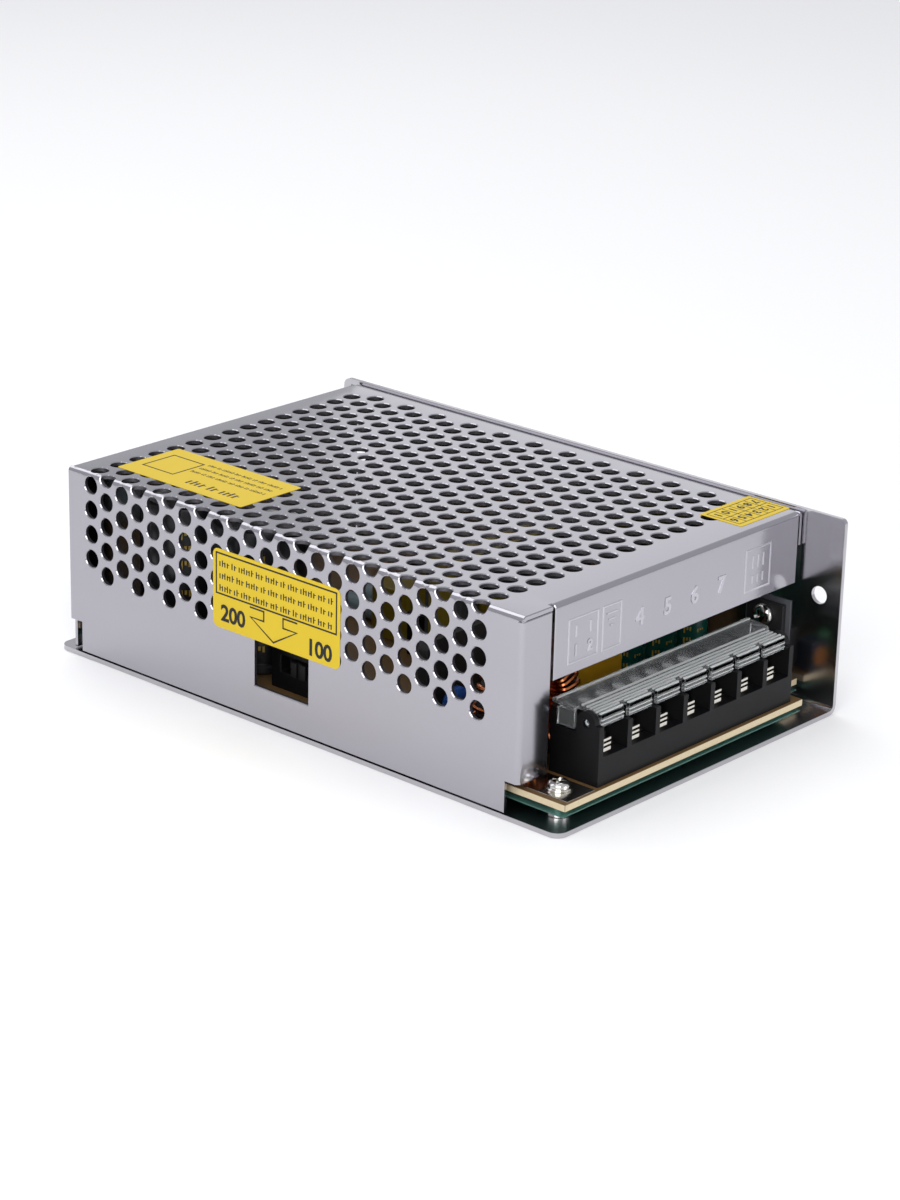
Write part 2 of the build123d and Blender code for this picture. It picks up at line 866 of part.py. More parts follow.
def bulk_capacitors():
    """The large mains capacitors, one behind the other at the back left."""
    x = board_left + bulk_left_gap + bulk_radius
    y = board_back - bulk_back_gap - bulk_radius
    pitch = 2 * bulk_radius + part_gap
    return group(can(x, y - i * pitch, bulk_radius, bulk_height) for i in range(bulk_count))


def row_front():
    """Front of the row that shows between the terminal block and the cover's flange."""
    return block_back + row_front_gap


def x_capacitor():
    """Boxed film capacitor."""
    y0 = row_front()
    box = brick(xcap_x - xcap_width / 2, xcap_x + xcap_width / 2, y0, y0 + xcap_depth,
                board_top, board_top + xcap_height)
    return chamfer(box.edges().filter_by(Axis.Z), xcap_bevel)


def output_capacitors():
    first = xcap_x + xcap_width / 2 + part_gap / 2 + outcap_radius
    pitch = 2 * outcap_radius + part_gap / 2
    y = row_front() + outcap_radius
    return group(can(first + i * pitch, y, outcap_radius, outcap_height) for i in range(outcap_count))


def transformer_middle():
    """Middle of the transformer on the board."""
    x = xcap_x + transformer_width / 2 - xcap_width / 2
    depth = max(xcap_depth, 2 * outcap_radius)
    return x, row_front() + depth + transformer_gap + transformer_length / 2


def transformer_core():
    """Two E halves round the bobbin: yokes above and below, outer legs and a middle leg."""
    x, y = transformer_middle()
    low, high = board_top + bobbin_foot, board_top + transformer_height
    half = transformer_width / 2
    core = brick(x - half, x + half, y - core_depth / 2, y + core_depth / 2, low, high)
    for x0, x1 in ((x - half + core_leg, x - core_leg), (x + core_leg, x + half - core_leg)):
        core -= brick(x0, x1, y - core_depth, y + core_depth, low + core_leg, high - core_leg)
    return core


def transformer_window():
    """Half width and half length of the coil's space, and its height limits."""
    half = transformer_width / 2 - core_leg - core_play
    low = board_top + bobbin_foot + core_leg + core_play
    return half, transformer_length / 2, low, board_top + transformer_height - core_leg - core_play


def transformer_bobbin():
    """Flanges, the tube on the core's middle leg and two feet with the pins."""
    x, y = transformer_middle()
    half, reach, low, high = transformer_window()
    tube_x, tube_y = core_leg + core_play + bobbin_tube, core_depth / 2 + core_play + bobbin_tube
    bobbin = brick(x - tube_x, x + tube_x, y - tube_y, y + tube_y, low, high)
    for z in (low, high - bobbin_flange):
        bobbin += brick(x - half, x + half, y - reach, y + reach, z, z + bobbin_flange)
    hole_x, hole_y = core_leg + core_play, core_depth / 2 + core_play
    foot = hole_y + bobbin_foot_gap
    for y0, y1 in ((y - reach, y - foot), (y + foot, y + reach)):
        bobbin += brick(x - half, x + half, y0, y1, board_top, low)
    return bobbin - brick(x - hole_x, x + hole_x, y - hole_y, y + hole_y, low - past, high + past)


def transformer_winding():
    """Taped coil on the bobbin."""
    x, y = transformer_middle()
    half, reach, low, high = transformer_window()
    outer_x, outer_y = half - winding_margin, reach - winding_margin
    tube_x, tube_y = core_leg + core_play + bobbin_tube, core_depth / 2 + core_play + bobbin_tube
    z0, z1 = low + bobbin_flange, high - bobbin_flange
    coil = brick(x - outer_x, x + outer_x, y - outer_y, y + outer_y, z0, z1)
    coil = fillet(coil.edges().filter_by(Axis.Z), winding_round)
    return coil - brick(x - tube_x, x + tube_x, y - tube_y, y + tube_y, z0 - past, z1 + past)


def transformer_tape():
    """Tape round the outside of the core."""
    x, y = transformer_middle()
    half, width = transformer_width / 2, tape_width / 2
    low, high = board_top + bobbin_foot, board_top + transformer_height
    t = tape_thickness
    tape = brick(x - half - t, x + half + t, y - width, y + width, low - t, high + t)
    return tape - brick(x - half, x + half, y - width - past, y + width + past, low, high)


def output_choke_place():
    """Middle of the output choke, beside the transformer's front."""
    x, y = transformer_middle()
    return (x + transformer_width / 2 + part_gap + outchoke_radius,
            y - transformer_length / 2 + outchoke_radius)


def output_choke_core():
    x, y = output_choke_place()
    low, high = board_top + choke_wire, board_top + outchoke_height - choke_wire
    core = prism(x, y, low, high, outchoke_radius - choke_wire)
    return core - prism(x, y, low - past, high + past, outchoke_bore + choke_wire)


def output_choke_winding():
    """One winding round most of the ring, open at the side where its ends go down."""
    x, y = output_choke_place()
    top = board_top + outchoke_height
    coil = prism(x, y, board_top, top, outchoke_radius)
    coil -= prism(x, y, board_top - past, top + past, outchoke_bore)
    coil -= output_choke_core()
    return coil - brick(x, x + outchoke_radius + past, y - part_gap, y + part_gap,
                        board_top - past, top + past)


def small_row():
    """Front of the row of small parts behind the transformer."""
    return transformer_middle()[1] + transformer_length / 2 + part_gap


def driver_transformer():
    """Small taped transformer behind the main one."""
    x, y0 = transformer_middle()[0], small_row()
    body = brick(x - driver_width / 2, x + driver_width / 2, y0, y0 + driver_length,
                 board_top, board_top + driver_height)
    return chamfer(body.edges().filter_by(Axis.Z), driver_bevel)


def controller_chip():
    """Dual-in-line controller with its pins folded down to the board."""
    x0 = transformer_middle()[0] + driver_width / 2 + 2 * part_gap
    y0 = small_row()
    low = board_top + chip_lift
    chip = brick(x0, x0 + chip_width, y0, y0 + chip_length, low, low + chip_height)
    first = y0 + (chip_length - (chip_pins - 1) * pin_grid) / 2
    for i in range(chip_pins):
        y = first + i * pin_grid
        for low_x in (x0 - lead_size, x0 + chip_width):
            chip += brick(low_x, low_x + lead_size, y - lead_size / 2, y + lead_size / 2,
                          board_top, low + chip_height / 2)
    return chip


def small_capacitors():
    x = transformer_middle()[0] + driver_width / 2 + 2 * part_gap
    x += chip_width + smallcap_gap + smallcap_radius
    pitch = 2 * smallcap_radius + part_gap
    y = small_row() + smallcap_radius
    return group(prism(x, y + i * pitch, board_top, board_top + smallcap_height, smallcap_radius)
                 for i in range(smallcap_count))


def resistors():
    """Power resistors that lie along the board behind the driver transformer."""
    x, y0 = transformer_middle()[0], small_row() + driver_length + part_gap
    z = board_top + resistor_radius * math.cos(math.pi / round_sides)
    pitch = 2 * resistor_radius + part_gap
    return group(prism_along_y(x + i * pitch, y0, y0 + resistor_length, z, resistor_radius)
                 for i in range(resistor_count))


def device_places():
    """Middles of the power devices along the side wall."""
    return [front + device_first_setback + i * device_pitch for i in range(device_count)]


def device_screw_z():
    return board_top + device_lift + device_screw_height


def device_hole_radius():
    return clear_radius(device_screw_radius, device_screw_play, small_sides)


def power_device(y):
    """Moulded body with its metal tab against the pad and three leads down to the board."""
    x1 = wall_in - pad_thickness
    half, low = device_width / 2, board_top + device_lift
    device = brick(x1 - device_thickness, x1, y - half, y + half, low, low + device_body_height)
    device += brick(x1 - tab_sheet, x1, y - half, y + half, low + device_body_height, low + device_height)
    device -= prism_along_x(x1 - tab_sheet - past, x1 + past, y, device_screw_z(),
                            device_hole_radius(), small_sides)
    x = x1 - device_thickness + tab_sheet
    for side in (-1, 0, 1):
        lead = y + side * pin_grid
        device += brick(x, x + lead_size, lead - lead_size / 2, lead + lead_size / 2, board_top, low)
    return device


def power_devices():
    return group(power_device(y) for y in device_places())


def device_pads():
    """Thin insulating pads between the devices and the wall."""
    pads = []
    half = device_width / 2 + pad_margin
    low = board_top + device_lift
    for y in device_places():
        pad = brick(wall_in - pad_thickness, wall_in, y - half, y + half,
                    low, low + device_height + pad_margin)
        hole = prism_along_x(wall_in - pad_thickness - past, wall_in + past, y, device_screw_z(),
                             device_hole_radius(), small_sides)
        pads.append(pad - hole)
    return group(pads)


def device_screws():
    """Bright pan-head screws that clamp the devices to the wall."""
    screws = []
    seat = wall_in - pad_thickness - tab_sheet
    for y in device_places():
        z = device_screw_z()
        shank = prism_along_x(seat, right, y, z, device_screw_radius, small_sides)
        head = prism_along_x(seat - device_screw_head, seat, y, z, device_screw_head_radius)
        screws.append(shank + head)
    return group(screws)


def trimmer_place():
    """Middle of the trimmer across the board, its front face and the height of its axis."""
    x = board_right - trimmer_right_gap - trimmer_width / 2
    return x, board_front + board_step_length + trimmer_front_gap, board_top + trimmer_height / 2


def trimmer_body():
    """Square body, bored from the front for the rotor."""
    x, y0, z = trimmer_place()
    half = trimmer_width / 2
    body = brick(x - half, x + half, y0, y0 + trimmer_depth, board_top, board_top + trimmer_height)
    hole = clear_radius(trimmer_radius, trimmer_play, round_sides)
    return body - prism_along_y(x, y0 - past, y0 + trimmer_sink, z, hole)


def trimmer_rotor():
    """Slotted disc that turns in the trimmer's body."""
    x, y0, z = trimmer_place()
    face, half = y0 - trimmer_stand, trimmer_slot / 2
    rotor = prism_along_y(x, face, y0 + trimmer_sink - trimmer_play, z, trimmer_radius)
    slot = brick(x - trimmer_radius, x + trimmer_radius, face - past, face + trimmer_slot_depth,
                 z - half, z + half)
    return rotor - slot


def indicator_lamp():
    """Small domed lamp beside the block, on two leads."""
    x = block_right + lamp_radius + lamp_rim
    y = board_front + board_step_length + 2 * lamp_radius
    low = board_top + lamp_stand
    lamp = prism(x, y, low, low + lamp_rim_height, lamp_radius + lamp_rim)
    lamp += prism(x, y, low, low + lamp_height, lamp_radius)
    tip = lamp.faces().sort_by(Axis.Z)[-1]
    lamp = chamfer(tip.edges(), lamp_radius / 2)
    for side in (-1, 1):
        lead = x + side * lamp_radius / 2
        half = lead_size / 4
        lamp += brick(lead - half, lead + half, y - half, y + half, board_top, low)
    return lamp


def build():
    """Every node by name."""
    nodes = {
        "chassis": chassis(), "cover": cover(), "cover_screws": cover_screws(),
        "side_sticker": side_sticker(), "back_sticker": back_sticker(), "front_sticker": front_sticker(),
        "standoffs": standoffs(), "insulating_film": insulating_film(), "circuit_board": circuit_board(),
        "board_screws": board_screws(), "earth_pad": earth_pad(),
        "terminal_block": terminal_block(), "terminal_contacts": contacts(), "terminal_lid": terminal_lid(),
        "choke_core": choke_core(), "choke_windings": choke_windings(),
        "fuse_glass": fuse_glass(), "fuse_caps": fuse_caps(), "fuse_clips": fuse_clips(),
        "thermistor": thermistor(), "y_capacitors": y_capacitors(), "bridge_rectifier": bridge_rectifier(),
        "selector_body": selector_body(), "selector_slider": selector_slider(),
        "bulk_capacitors": bulk_capacitors(), "x_capacitor": x_capacitor(),
        "output_capacitors": output_capacitors(),
        "transformer_core": transformer_core(), "transformer_bobbin": transformer_bobbin(),
        "transformer_winding": transformer_winding(), "transformer_tape": transformer_tape(),
        "output_choke_core": output_choke_core(), "output_choke_winding": output_choke_winding(),
        "driver_transformer": driver_transformer(), "controller_chip": controller_chip(),
        "small_capacitors": small_capacitors(), "resistors": resistors(),
        "power_devices": power_devices(), "device_pads": device_pads(), "device_screws": device_screws(),
        "trimmer_body": trimmer_body(), "trimmer_rotor": trimmer_rotor(), "indicator_lamp": indicator_lamp(),
    }
    for i in range(ways):
        nodes[f"terminal_clamp_{i + 1}"] = terminal_clamp(i)
        nodes[f"terminal_screw_{i + 1}"] = terminal_screw(i)
    return nodes


os.makedirs("parts", exist_ok=True)
for name, shape in build().items():
    export_step(shape, f"parts/{name}.step")
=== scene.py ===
import json
import math

import bmesh
import bpy
from bpy.props import FloatProperty, FloatVectorProperty, IntProperty, PointerProperty
from mathutils import Matrix, Vector
from mathutils.geometry import delaunay_2d_cdt

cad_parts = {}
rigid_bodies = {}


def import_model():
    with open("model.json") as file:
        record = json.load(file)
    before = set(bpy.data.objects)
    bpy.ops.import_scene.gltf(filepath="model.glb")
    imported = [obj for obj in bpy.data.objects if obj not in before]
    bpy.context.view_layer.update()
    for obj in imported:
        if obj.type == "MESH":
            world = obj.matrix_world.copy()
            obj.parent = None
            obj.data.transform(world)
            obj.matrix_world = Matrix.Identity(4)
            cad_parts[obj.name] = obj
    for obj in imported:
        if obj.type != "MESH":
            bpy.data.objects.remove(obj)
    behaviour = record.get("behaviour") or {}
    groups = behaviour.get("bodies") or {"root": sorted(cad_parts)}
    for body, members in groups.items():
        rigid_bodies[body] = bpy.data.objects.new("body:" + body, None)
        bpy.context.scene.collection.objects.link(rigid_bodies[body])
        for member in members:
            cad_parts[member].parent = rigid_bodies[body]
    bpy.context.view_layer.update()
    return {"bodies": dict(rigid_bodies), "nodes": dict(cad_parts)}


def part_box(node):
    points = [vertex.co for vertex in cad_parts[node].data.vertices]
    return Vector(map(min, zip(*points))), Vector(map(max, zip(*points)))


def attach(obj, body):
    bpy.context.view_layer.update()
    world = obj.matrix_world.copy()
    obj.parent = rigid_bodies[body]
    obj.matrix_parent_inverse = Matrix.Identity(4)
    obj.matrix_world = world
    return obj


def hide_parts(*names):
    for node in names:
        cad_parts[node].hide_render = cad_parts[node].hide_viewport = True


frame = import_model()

bl_info = {
    "name": "Power supply looks",
    "version": (1, 0, 0),
    "blender": (4, 5, 0),
    "location": "View3D > Sidebar > Power Supply",
    "description": "Builds the visible pieces and finishes of a perforated power supply round its packed model",
    "category": "Object",
}

MM = 0.001
WAYS = len([body for body in frame["bodies"] if body.startswith("screw_")])


# Measuring and drawing helpers. Shapes are drawn in millimetres and scaled once, in put().

def to_linear(hex_colour):
    """sRGB hex to linear red, green and blue."""
    channels = [int(hex_colour[i:i + 2], 16) / 255 for i in (1, 3, 5)]
    return tuple(c / 12.92 if c <= 0.04045 else ((c + 0.055) / 1.055) ** 2.4 for c in channels)


def span(node):
    """Lowest and highest corner of a CAD node, in millimetres."""
    low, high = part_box(node)
    return Vector(low) / MM, Vector(high) / MM


def solids_of(node):
    """Corners of each separate solid of a CAD node, in millimetres, front to back and left to right."""
    bm = bmesh.new()
    bm.from_mesh(frame["nodes"][node].data)
    bmesh.ops.remove_doubles(bm, verts=bm.verts, dist=1e-6)
    bm.verts.index_update()
    seen, found = set(), []
    for start in bm.verts:
        if start.index in seen:
            continue
        seen.add(start.index)
        island, stack = [], [start]
        while stack:
            vert = stack.pop()
            island.append(vert.co / MM)
            for edge in vert.link_edges:
                other = edge.other_vert(vert)
                if other.index not in seen:
                    seen.add(other.index)
                    stack.append(other)
        low = Vector([min(p[k] for p in island) for k in range(3)])
        high = Vector([max(p[k] for p in island) for k in range(3)])
        found.append((low, high))
    bm.free()
    return sorted(found, key=lambda box: (round(box[0].y, 1), round(box[0].x, 1)))


def link(name, data):
    """A new object in the scene."""
    made = bpy.data.objects.new(name, data)
    bpy.context.scene.collection.objects.link(made)
    return made


def to_mesh(bm, name):
    """Turn a bmesh into a mesh, and let go of it."""
    mesh = bpy.data.meshes.new(name)
    bm.to_mesh(mesh)
    bm.free()
    return mesh


def put(name, bm, materials, body="root", stands_for=(), smooth=35.0):
    """Turn a bmesh drawn in millimetres into a piece that rides on a body."""
    bmesh.ops.scale(bm, vec=(MM, MM, MM), verts=bm.verts)
    mesh = to_mesh(bm, name)
    for material in finishes(materials):
        mesh.materials.append(material)
    mesh.polygons.foreach_set("use_smooth", [True] * len(mesh.polygons))
    mesh.set_sharp_from_angle(angle=math.radians(smooth))
    piece = link(name, mesh)
    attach(piece, body)
    if stands_for:
        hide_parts(*stands_for)
    return piece


def flat_faces(piece):
    """Keep a piece's broad faces flat to the eye, so that only its eased edges shade round."""
    even = piece.modifiers.new("flat_faces", "WEIGHTED_NORMAL")
    even.keep_sharp = True
    return piece


def add_block(bm, low, high, ease=0.0, paint=0, place=None):
    """A box between two corners, with its edges eased."""
    low, high = Vector(low), Vector(high)
    made = bmesh.ops.create_cube(bm, size=1.0)["verts"]
    for vert in made:
        vert.co = Vector([low[k] if vert.co[k] < 0 else high[k] for k in range(3)])
    faces = list({face for vert in made for face in vert.link_faces})
    if ease:
        edges = list({edge for face in faces for edge in face.edges})
        cut = bmesh.ops.bevel(bm, geom=edges, offset=ease, segments=2, profile=0.5, affect="EDGES",
                              clamp_overlap=True)
        verts = {vert for face in cut["faces"] for vert in face.verts}
        faces = list({face for vert in verts for face in vert.link_faces})
    for face in faces:
        face.material_index = paint
    if place:
        verts = list({vert for face in faces for vert in face.verts})
        bmesh.ops.transform(bm, matrix=place, verts=verts)


def add_lathe(bm, profile, place, paint=0, steps=40):
    """Turn a profile of (radius, height) pairs round the local Z axis of a place."""
    rings = []
    for radius, height in profile:
        if radius < 1e-6:
            rings.append([bm.verts.new(place @ Vector((0, 0, height)))])
            continue
        ring = []
        for i in range(steps):
            turn = 2 * math.pi * i / steps
            ring.append(bm.verts.new(place @ Vector((radius * math.cos(turn), radius * math.sin(turn), height))))
        rings.append(ring)
    for lower, upper in zip(rings, rings[1:]):
        for i in range(steps):
            j = (i + 1) % steps
            if len(lower) == 1 and len(upper) == 1:
                continue
            if len(lower) == 1:
                corners = (lower[0], upper[j], upper[i])
            elif len(upper) == 1:
                corners = (lower[i], lower[j], upper[0])
            else:
                corners = (lower[i], lower[j], upper[j], upper[i])
            bm.faces.new(corners).material_index = paint


def add_wire(bm, points, radius, paint=0, sides=8):
    """A round wire along a line of points."""
    rings, up = [], Vector((0.0, 0.0, 1.0))
    for before, point, after in zip(points[:1] + points, points, points[1:] + points[-1:]):
        along = (after - before).normalized()
        up = up - along * up.dot(along)
        if up.length < 1e-3:
            up = along.orthogonal()
        up.normalize()
        side = along.cross(up)
        rings.append([bm.verts.new(point + radius * (math.cos(a) * up + math.sin(a) * side))
                      for a in (2 * math.pi * i / sides for i in range(sides))])
    for lower, upper in zip(rings, rings[1:]):
        for i in range(sides):
            j = (i + 1) % sides
            bm.faces.new((lower[i], upper[i], upper[j], lower[j])).material_index = paint
    bm.faces.new(rings[0]).material_index = paint
    bm.faces.new(list(reversed(rings[-1]))).material_index = paint


def upright(x, y, z):
    """A place whose local Z points up."""
    return Matrix.Translation((x, y, z))


def facing(origin, across, up):
    """A place on a flat face: local X runs across it, local Y up it, and local Z out of it."""
    across, up = Vector(across), Vector(up)
    out = across.cross(up)
    turn = Matrix((across, up, out)).transposed().to_4x4()
    return Matrix.Translation(Vector(origin)) @ turn


def lying(origin, axis):
    """A place whose local Z lies along an axis."""
    turn = Vector((0, 0, 1)).rotation_difference(Vector(axis)).to_matrix().to_4x4()
    return Matrix.Translation(Vector(origin)) @ turn


def backwards(low, high):
    """A place in the middle of a box's front face, whose local Z runs to the back."""
    return lying(((low.x + high.x) / 2, low.y, (low.z + high.z) / 2), (0, 1, 0))


def circle(x, y, radius, steps):
    """A clockwise ring of points, as the edge of a hole."""
    return [(x + radius * math.cos(a), y - radius * math.sin(a))
            for a in (2 * math.pi * i / steps for i in range(steps))]


def rounded(width, height, radius, steps=6):
    """A counter-clockwise outline with rounded corners, about its middle."""
    points = []
    for cx, cy, start in ((1, -1, -90), (1, 1, 0), (-1, 1, 90), (-1, -1, 180)):
        for i in range(steps + 1):
            a = math.radians(start + 90 * i / steps)
            points.append((cx * (width / 2 - radius) + radius * math.cos(a),
                           cy * (height / 2 - radius) + radius * math.sin(a)))
    return points


def into_material(loop, amount):
    """Move a loop sideways, towards the material on its left."""
    moved, count = [], len(loop)
    for i, point in enumerate(loop):
        before, after = Vector(loop[i - 1]), Vector(loop[(i + 1) % count])
        here = Vector(point)
        a, b = (here - before).normalized(), (after - here).normalized()
        left_a, left_b = Vector((-a.y, a.x)), Vector((-b.y, b.x))
        shift = (left_a + left_b) / max(1 + left_a.dot(left_b), 0.2)
        moved.append(tuple(here + shift * amount))
    return moved


def fill(loops, extra):
    """Triangles between closed loops, the first one outermost, with extra points inside."""
    points, edges = [], []
    for loop in loops:
        start = len(points)
        points += [Vector(p) for p in loop]
        edges += [(start + i, start + (i + 1) % len(loop)) for i in range(len(loop))]
    points += [Vector(p) for p in extra]
    verts, _, faces, origins, _, _ = delaunay_2d_cdt(points, edges, [], 0, 1e-6)
    if len(verts) != len(points):
        raise RuntimeError("two edges of the sheet's outline cross")
    index = [origin[0] for origin in origins]
    triangles = [tuple(index[v] for v in face) for face in faces]
    walls = {frozenset(edge) for edge in edges}
    beside = {}
    for k, (a, b, c) in enumerate(triangles):
        for edge in ((a, b), (b, c), (c, a)):
            beside.setdefault(frozenset(edge), []).append(k)
    depth, queue = {}, []
    for edge, owners in beside.items():
        if len(owners) == 1 and owners[0] not in depth:
            depth[owners[0]] = 1 if edge in walls else 0
            queue.append(owners[0])
    while queue:
        k = queue.pop()
        a, b, c = triangles[k]
        for edge in ((a, b), (b, c), (c, a)):
            edge = frozenset(edge)
            for other in beside[edge]:
                if other not in depth:
                    depth[other] = depth[k] + (1 if edge in walls else 0)
                    queue.append(other)
    return [t for k, t in enumerate(triangles) if depth.get(k, 0) % 2 == 1]


def add_sheet(bm, loops, extra, where, thickness, rim, paint=0, hole_paint=0):
    """A flat pattern with holes, folded by where(s, t, depth), with a small round on its outer edges."""
    outer = [into_material(loop, rim) for loop in loops]
    faces_out = fill(outer, extra)
    faces_in = fill(loops, extra)
    top = [bm.verts.new(where(s, t, 0.0)) for loop in outer for s, t in loop]
    top += [bm.verts.new(where(s, t, 0.0)) for s, t in extra]
    bottom = [bm.verts.new(where(s, t, thickness)) for loop in loops for s, t in loop]
    bottom += [bm.verts.new(where(s, t, thickness)) for s, t in extra]
    for a, b, c in faces_out:
        bm.faces.new((top[a], top[b], top[c])).material_index = paint
    for a, b, c in faces_in:
        bm.faces.new((bottom[a], bottom[c], bottom[b])).material_index = paint
    start = 0
    for k, loop in enumerate(loops):
        count = len(loop)
        waist = [bm.verts.new(where(s, t, rim)) for s, t in loop]
        for i in range(count):
            j = (i + 1) % count
            bm.faces.new((top[start + j], top[start + i], waist[i], waist[j])).material_index = paint
            wall = bm.faces.new((waist[j], waist[i], bottom[start + i], bottom[start + j]))
            wall.material_index = hole_paint if k else paint
        start += count


def add_plate(bm, loops, place, thickness, rim):
    """A flat plate with holes, standing out of a place by its thickness."""
    def where(s, t, depth):
        return place @ Vector((s, t, thickness - depth))
    add_sheet(bm, loops, [], where, thickness, rim)


def cut_away(body, *cutters):
    """Take closed shapes away from a closed shape, all of them bmeshes, one after the other."""
    parts = []
    for k, shape in enumerate((body, *cutters)):
        parts.append(link("shape", to_mesh(shape, "shape")))
        if k:
            cut = parts[0].modifiers.new("cut", "BOOLEAN")
            cut.operation, cut.solver, cut.object = "DIFFERENCE", "EXACT", parts[-1]
    bpy.context.view_layer.update()
    mesh = bpy.data.meshes.new_from_object(parts[0].evaluated_get(bpy.context.evaluated_depsgraph_get()))
    result = bmesh.new()
    result.from_mesh(mesh)
    for part in parts:
        old = part.data
        bpy.data.objects.remove(part)
        bpy.data.meshes.remove(old)
    bpy.data.meshes.remove(mesh)
    return result


def eased_copy(name, node, ease, materials, body="root", painter=None, segments=2, cut=None):
    """A CAD node's own shape with its sharp edges eased, as such a part comes out of its tool."""
    bm = bmesh.new()
    bm.from_mesh(frame["nodes"][node].data)
    bmesh.ops.scale(bm, vec=(1 / MM, 1 / MM, 1 / MM), verts=bm.verts)
    bmesh.ops.remove_doubles(bm, verts=bm.verts, dist=1e-3)
    if cut:
        step = bmesh.new()
        add_block(step, *cut)
        bm = cut_away(bm, step)
        bmesh.ops.remove_doubles(bm, verts=bm.verts, dist=1e-3)
    bmesh.ops.dissolve_limit(bm, angle_limit=math.radians(1), verts=bm.verts, edges=bm.edges)
    for face in bm.faces:
        face.material_index = painter(face) if painter else 0
    sharp = [e for e in bm.edges if len(e.link_faces) == 2 and e.calc_face_angle(0) > math.radians(40)]
    bmesh.ops.bevel(bm, geom=sharp, offset=ease, segments=segments, profile=0.5, affect="EDGES",
                    clamp_overlap=True)
    return flat_faces(put(name, bm, materials, body, (node,)))


# Shader helpers

def add_node(tree, kind, settings=None, inputs=None, links=None):
    """Add one node with its settings, the values on its sockets and the links into them."""
    made = tree.nodes.new(kind)
    for key, value in (settings or {}).items():
        setattr(made, key, value)
    for key, value in (inputs or {}).items():
        made.inputs[key].default_value = value
    for key, source in (links or {}).items():
        tree.links.new(source, made.inputs[key])
    return made


def surface(name, colour, second, metallic, roughness, mottle_mm, grain_mm, grain_depth, swing=0.06,
            stretch=(1.0, 1.0, 1.0), **sockets):
    """A material: two close tones, a roughness that wanders, and a fine grain, all at real sizes."""
    material = bpy.data.materials.new(name)
    material.use_nodes = True
    material.diffuse_color = (*to_linear(colour), 1.0)
    tree = material.node_tree
    shader = tree.nodes["Principled BSDF"]
    shader.inputs["Metallic"].default_value = metallic
    for key, value in sockets.items():
        shader.inputs[key.replace("_", " ")].default_value = value
    where = add_node(tree, "ShaderNodeTexCoord")
    in_mm = add_node(tree, "ShaderNodeMapping", inputs={"Scale": tuple(1000.0 * k for k in stretch)},
                     links={"Vector": where.outputs["Object"]})
    mottle = add_node(tree, "ShaderNodeTexNoise", inputs={"Scale": 1 / mottle_mm, "Detail": 4.0},
                      links={"Vector": in_mm.outputs["Vector"]})
    tones = add_node(tree, "ShaderNodeMix", {"data_type": "RGBA"},
                     {"A": (*to_linear(colour), 1.0), "B": (*to_linear(second), 1.0)},
                     {"Factor": mottle.outputs["Fac"]})
    tree.links.new(tones.outputs["Result"], shader.inputs["Base Color"])
    wander = add_node(tree, "ShaderNodeMapRange",
                      inputs={"To Min": max(roughness - swing, 0.0), "To Max": roughness + swing},
                      links={"Value": mottle.outputs["Fac"]})
    tree.links.new(wander.outputs["Result"], shader.inputs["Roughness"])
    if grain_depth:
        grain = add_node(tree, "ShaderNodeTexNoise", inputs={"Scale": 1 / grain_mm, "Detail": 3.0},
                         links={"Vector": in_mm.outputs["Vector"]})
        bump = add_node(tree, "ShaderNodeBump", inputs={"Strength": 1.0, "Distance": grain_depth * MM},
                        links={"Height": grain.outputs["Fac"]})
        tree.links.new(bump.outputs["Normal"], shader.inputs["Normal"])
    return material


